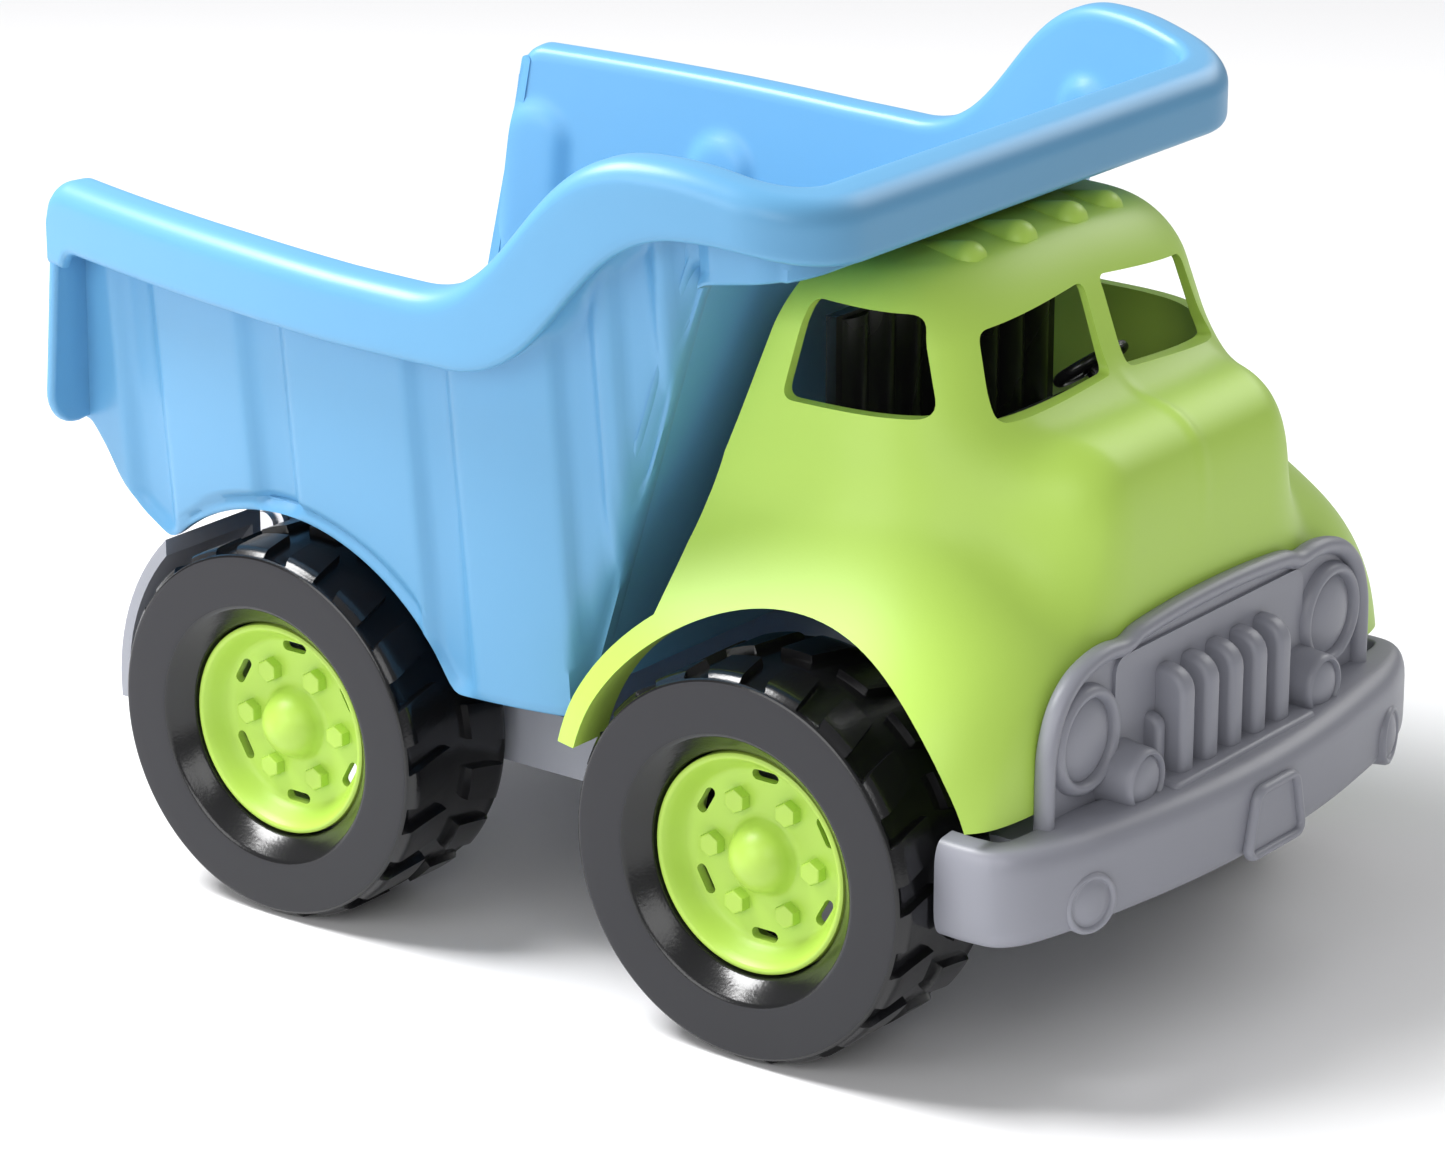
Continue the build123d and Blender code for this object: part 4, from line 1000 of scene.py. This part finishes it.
def row_of(name):
    """Geometry Nodes tree that sets one part on each point of a row."""
    tree = bpy.data.node_groups.new(name, "GeometryNodeTree")
    for label, kind in (("Places", "Object"), ("Part", "Object"), ("Material", "Material")):
        tree.interface.new_socket(label, in_out="INPUT", socket_type="NodeSocket" + kind)
    tree.interface.new_socket("Geometry", in_out="OUTPUT", socket_type="NodeSocketGeometry")
    node, link = tree.nodes.new, tree.links.new
    enter = node("NodeGroupInput")
    node("NodeGroupOutput")
    places, part = node("GeometryNodeObjectInfo"), node("GeometryNodeObjectInfo")
    link(enter.outputs["Places"], places.inputs["Object"])
    link(enter.outputs["Part"], part.inputs["Object"])
    place = node("GeometryNodeInstanceOnPoints")
    link(places.outputs["Geometry"], place.inputs["Points"])
    link(part.outputs["Geometry"], place.inputs["Instance"])
    end_tree(tree, place)
    return tree


def row_places(name, places):
    """Loose points, in millimetres, that a row of parts stands on."""
    mesh = bpy.data.meshes.new(name)
    mesh.from_pydata((np.asarray(places, float) * MM).tolist(), [], [])
    return added(name, mesh)


row_tree = row_of("row_of_parts")
lamp_places = row_places("lamp_places", [(70.0, -24.9, 156.0), (71.5, -9.3, 157.2),
                                         (71.5, 9.3, 157.2), (70.0, 24.9, 156.0)])
lamp_master = teardrop_lamp()
lamps = set_out("cab_marker_lamps", row_tree,
                {"Places": lamp_places, "Part": lamp_master, "Material": cab_green})
for spare in (lamp_places, lamp_master):
    bpy.data.objects.remove(spare)
for piece in (cab, lamps):
    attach(piece, "chassis")
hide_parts("cab_shell")

# ------------------------------------------------------------------ fascia
# The grille panel, lamps and wrap-round bumper are one grey moulding that
# screws to the chassis in front of the cab: a rolled edge over a sunk field,
# five tall bars on a sill, ringed lamps, and a thick bowed bumper.
panel_x = 113.2
fascia_grey = plastic("fascia_grey", (0.255, 0.26, 0.30), 0.36, drift=0.05, grain=0.08)
panel_edge = [(-60.4, 50.0), (-60.4, 66.0), (-59.6, 73.0), (-56.6, 79.5), (-51.5, 84.0), (-45.0, 86.2),
              (-39.0, 86.7), (-34.5, 86.2), (-31.5, 86.6), (-27.5, 87.8), (-14.0, 88.8), (0.0, 89.1)]
panel_edge = panel_edge + [(-y, z) for y, z in panel_edge[-2::-1]]


def smooth_path(points, spacing=1.2):
    """A rounded path through points, cut into even steps."""
    p = np.array(points, float)
    p = np.vstack([2 * p[0] - p[1], p, 2 * p[-1] - p[-2]])
    fine = []
    for a, b, c, d in zip(p, p[1:], p[2:], p[3:]):
        n = max(2, int(np.linalg.norm(c - b) / spacing))
        for t in np.arange(n) / n:
            fine.append(0.5 * (2 * b + (c - a) * t + (2 * a - 5 * b + 4 * c - d) * t ** 2
                               + (3 * b - a - 3 * c + d) * t ** 3))
    return np.array(fine + [p[-2]])


def swept(path, section, front):
    """A closed section carried along a path in a plane; section is (across, forward)."""
    along = np.gradient(path, axis=0)
    along /= np.linalg.norm(along, axis=1)[:, None]
    across = np.stack([-along[:, 1], along[:, 0]], 1)
    points = []
    for (u, v), (au, av) in zip(path, across):
        for side, ahead in section:
            points.append((front + ahead, u + au * side, v + av * side))
    n = len(section)
    sweep_faces = grid_faces(len(path), n, wrap_columns=True)
    sweep_faces += [tuple(range(n)), tuple(range(len(points) - 1, len(points) - n - 1, -1))]
    return points, sweep_faces


rolled = [(1.7 * cos(t) * (1 if cos(t) > 0 else 1.25), 2.3 * max(sin(t), -0.75))
          for t in np.linspace(0, 2 * pi, 20, endpoint=False)]
edge_path = smooth_path(panel_edge)
parts = [new_piece("panel_edge", *swept(edge_path, rolled, panel_x + 1.3), fascia_grey, crease=60)]

field = [(y * 0.975, z - 1.2) for y, z in smooth_path(panel_edge, 3.0)]
parts.append(new_piece("panel_field", *prism(field, "X", panel_x - 0.6, panel_x + 0.9), fascia_grey))
grille_field = rounded_outline([(-36.0, 50.0), (-36.0, 84.0), (36.0, 84.0), (36.0, 50.0)], (1, 4, 4, 1))
parts.append(new_piece("grille_field", *prism(grille_field, "X", panel_x, panel_x + 1.7), fascia_grey))

headlight = [(11.6, 0.5), (11.5, 1.6), (11.1, 2.7), (10.4, 3.4), (9.7, 3.5), (9.1, 3.1), (8.8, 2.3),
             (8.65, 1.5), (8.3, 1.7), (7.0, 2.5), (5.0, 3.2), (2.5, 3.6)]
fog = [(7.8, 0.5), (7.3, 2.5), (7.0, 5.0), (6.8, 7.6), (6.6, 8.5), (6.2, 9.1), (5.8, 9.2), (5.45, 8.8),
       (5.3, 8.1), (5.0, 8.4), (3.8, 9.1), (2.0, 9.5)]
boss = [(6.6, -3.0), (6.5, 0.6), (6.2, 1.2), (5.7, 1.4), (5.2, 1.2), (4.95, 0.7), (4.7, 0.7), (4.0, 1.1),
        (2.4, 1.6)]
boss_turn = radians(17)
for side in (-1, 1):
    round_parts = ((headlight, (panel_x, side * 46.7, 70.2), 0.0, 3.7),
                   (fog, (panel_x, side * 34.4, 59.2), 0.0, 9.6),
                   (boss, (124.0, side * 58.0, 41.5), boss_turn, 1.75))
    for profile, place, aim, tip in round_parts:
        toward = (cos(aim), side * sin(aim), 0)
        lamp = revolved(profile, 56, place, toward, [(tip, len(profile) - 1)])
        parts.append(new_piece("lamp", *lamp, fascia_grey, crease=50))


def rounded_block(name, low, high, radius, material, top_round=0.0):
    """A box with soft edges; its front top edge may be rounded further."""
    work = bmesh.new()
    bmesh.ops.create_cube(work, size=1.0)
    low, high = np.array(low, float), np.array(high, float)
    for v in work.verts:
        v.co = Vector((low + high) / 2 + np.array(v.co) * (high - low))
    if top_round:
        front_top = [edge for edge in work.edges
                     if all(v.co.x > high[0] - 0.01 and v.co.z > high[2] - 0.01 for v in edge.verts)]
        bmesh.ops.bevel(work, geom=front_top, offset=top_round, segments=6, affect="EDGES", profile=0.5)
    sharp = [edge for edge in work.edges
             if len(edge.link_faces) == 2 and edge.calc_face_angle() > radians(25)]
    bmesh.ops.bevel(work, geom=sharp, offset=radius, segments=4, affect="EDGES", profile=0.5)
    points = [tuple(v.co) for v in work.verts]
    work.verts.ensure_lookup_table()
    block_faces = [tuple(v.index for v in f.verts) for f in work.faces]
    work.free()
    return new_piece(name, points, block_faces, material, crease=50)


bar_pitch = 9.3
bar_master = rounded_block("bar_master", (0, -2.5, -11.0), (8.2, 2.5, 12.4), 1.5, fascia_grey, top_round=5.5)
fin_master = rounded_block("fin_master", (0, -1.7, -9.0), (4.6, 1.7, 5.2), 1.2, fascia_grey, top_round=3.0)
bar_places = row_places("bar_places", [(panel_x + 0.5, k * bar_pitch, 66.0) for k in range(-2, 3)])
fin_places = row_places("fin_places", [(panel_x + 0.5, (k - 0.5) * bar_pitch, 64.0) for k in range(-2, 4)])
bars = set_out("grille_bars", row_tree, {"Places": bar_places, "Part": bar_master, "Material": fascia_grey})
fins = set_out("grille_fins", row_tree, {"Places": fin_places, "Part": fin_master, "Material": fascia_grey})
for spare in (bar_places, fin_places, bar_master, fin_master):
    bpy.data.objects.remove(spare)
parts.append(rounded_block("grille_sill", (panel_x, -27.0, 51.0), (panel_x + 11.5, 27.0, 56.6), 1.2,
                           fascia_grey))

bow = smooth_path([(101.0, -78.3), (108.0, -78.6), (114.5, -77.6), (119.0, -73.5), (122.3, -66.0), (124.9, -56.0),
                   (128.4, -34.0), (130.1, -16.0), (130.7, 0.0)], 1.5)
bow = np.vstack([bow, bow[-2::-1] * (1, -1)])
bow_along = np.gradient(bow, axis=0)
bow_along /= np.linalg.norm(bow_along, axis=1)[:, None]
bar_low, bar_high = 35.0, 55.2
bumper_depth = 13.0
bumper_section = rounded_outline([(0.0, bar_low), (0.0, bar_high), (bumper_depth, bar_high + 1.0),
                                  (bumper_depth, bar_low)], (6.0, 5.5, 2.0, 3.0), steps=8)
bumper_points = []
for (x, y), (ax, ay) in zip(bow, bow_along):
    end = min(1.0, max(0.0, (84.0 - abs(y)) / 30.0))
    for depth, z in bumper_section:
        swell = 0.55 * sin(pi * (z - bar_low) / (bar_high - bar_low)) if depth < 3 else 0.0
        deep = depth * (0.35 + 0.65 * end)
        bumper_points.append((x - (deep - swell * 0.4) * ay, y + (deep - swell * 0.4) * ax, z))
n = len(bumper_section)
bumper_faces = grid_faces(len(bow), n, wrap_columns=True)
bumper_faces += [tuple(range(n)), tuple(range(len(bumper_points) - 1, len(bumper_points) - n - 1, -1))]
parts.append(new_piece("bumper", bumper_points, bumper_faces, fascia_grey, crease=50))

plate_outline = rounded_outline([(-10.6, 36.8), (-7.4, 50.6), (7.4, 50.6), (10.6, 36.8)],
                                (2.6, 3.2, 3.2, 2.6), steps=8)
plate_path = np.array(plate_outline + plate_outline[:2])
ring_section = [(1.0 * cos(t), 1.3 * sin(t)) for t in np.linspace(0, 2 * pi, 12, endpoint=False)]
parts.append(new_piece("plate_ring", *swept(plate_path, ring_section, 131.4), fascia_grey, crease=60))
parts.append(new_piece("plate_field", *prism(plate_outline, "X", 127.0, 131.35), fascia_grey))
fascia = joined("fascia_moulding", *parts)
for piece in (fascia, bars, fins):
    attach(piece, "chassis")
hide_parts("front_fascia")

# ------------------------------------------------------------------ floor, light and camera
# A plain pale studio floor under four soft lights: the key above and behind,
# and weaker ones beside, in front and on the far side. The camera stands at
# the front right corner.
def studio_floor():
    """The pale floor the truck stands on."""
    mesh = bpy.data.meshes.new("studio_floor")
    size = 4.0
    corners = [(-size, -size, 0), (size, -size, 0), (size, size, 0), (-size, size, 0)]
    mesh.from_pydata(corners, [], [(0, 1, 2, 3)])
    floor = added("studio_floor", mesh)
    material = bpy.data.materials.new("studio_floor")
    material.use_nodes = True
    shader = material.node_tree.nodes["Principled BSDF"]
    shader.inputs["Base Color"].default_value = (0.86, 0.86, 0.87, 1)
    shader.inputs["Roughness"].default_value = 0.55
    mesh.materials.append(material)


def soft_light(name, place, aim, width, height, power):
    """A rectangular soft light."""
    data = bpy.data.lights.new(name, "AREA")
    data.shape = "RECTANGLE"
    data.size, data.size_y = width, height
    data.energy = power
    light = added(name, data)
    light.location = place
    light.rotation_mode = "QUATERNION"
    light.rotation_quaternion = (Vector(aim) - Vector(place)).to_track_quat("-Z", "Y")


studio_floor()
soft_light("key", (-0.55, -0.32, 1.0), (0, 0, 0.05), 0.5, 0.5, 21.0)
soft_light("side_fill", (-0.2, -1.2, 0.5), (0.02, 0, 0.08), 0.8, 0.6, 5.0)
soft_light("front_fill", (0.9, -1.1, 0.8), (0.03, 0, 0.08), 0.7, 0.7, 4.5)
soft_light("far_rim", (0.2, 1.1, 0.8), (0, 0, 0.1), 0.8, 0.5, 5.0)
world = bpy.data.worlds.new("studio")
world.use_nodes = True
world.node_tree.nodes["Background"].inputs["Color"].default_value = (1, 1, 1, 1)
world.node_tree.nodes["Background"].inputs["Strength"].default_value = 0.33
bpy.context.scene.world = world
bpy.context.scene.view_settings.view_transform = "Standard"

camera_data = bpy.data.cameras.new("camera")
camera_data.lens = 126.8
camera_data.sensor_width = 36.0
camera = added("camera", camera_data)
camera.location = (0.6257, -0.8404, 0.4312)
camera.rotation_mode = "QUATERNION"
camera.rotation_quaternion = (-Vector((0.570, -0.753, 0.3285))).to_track_quat("-Z", "Y")
bpy.context.scene.camera = camera
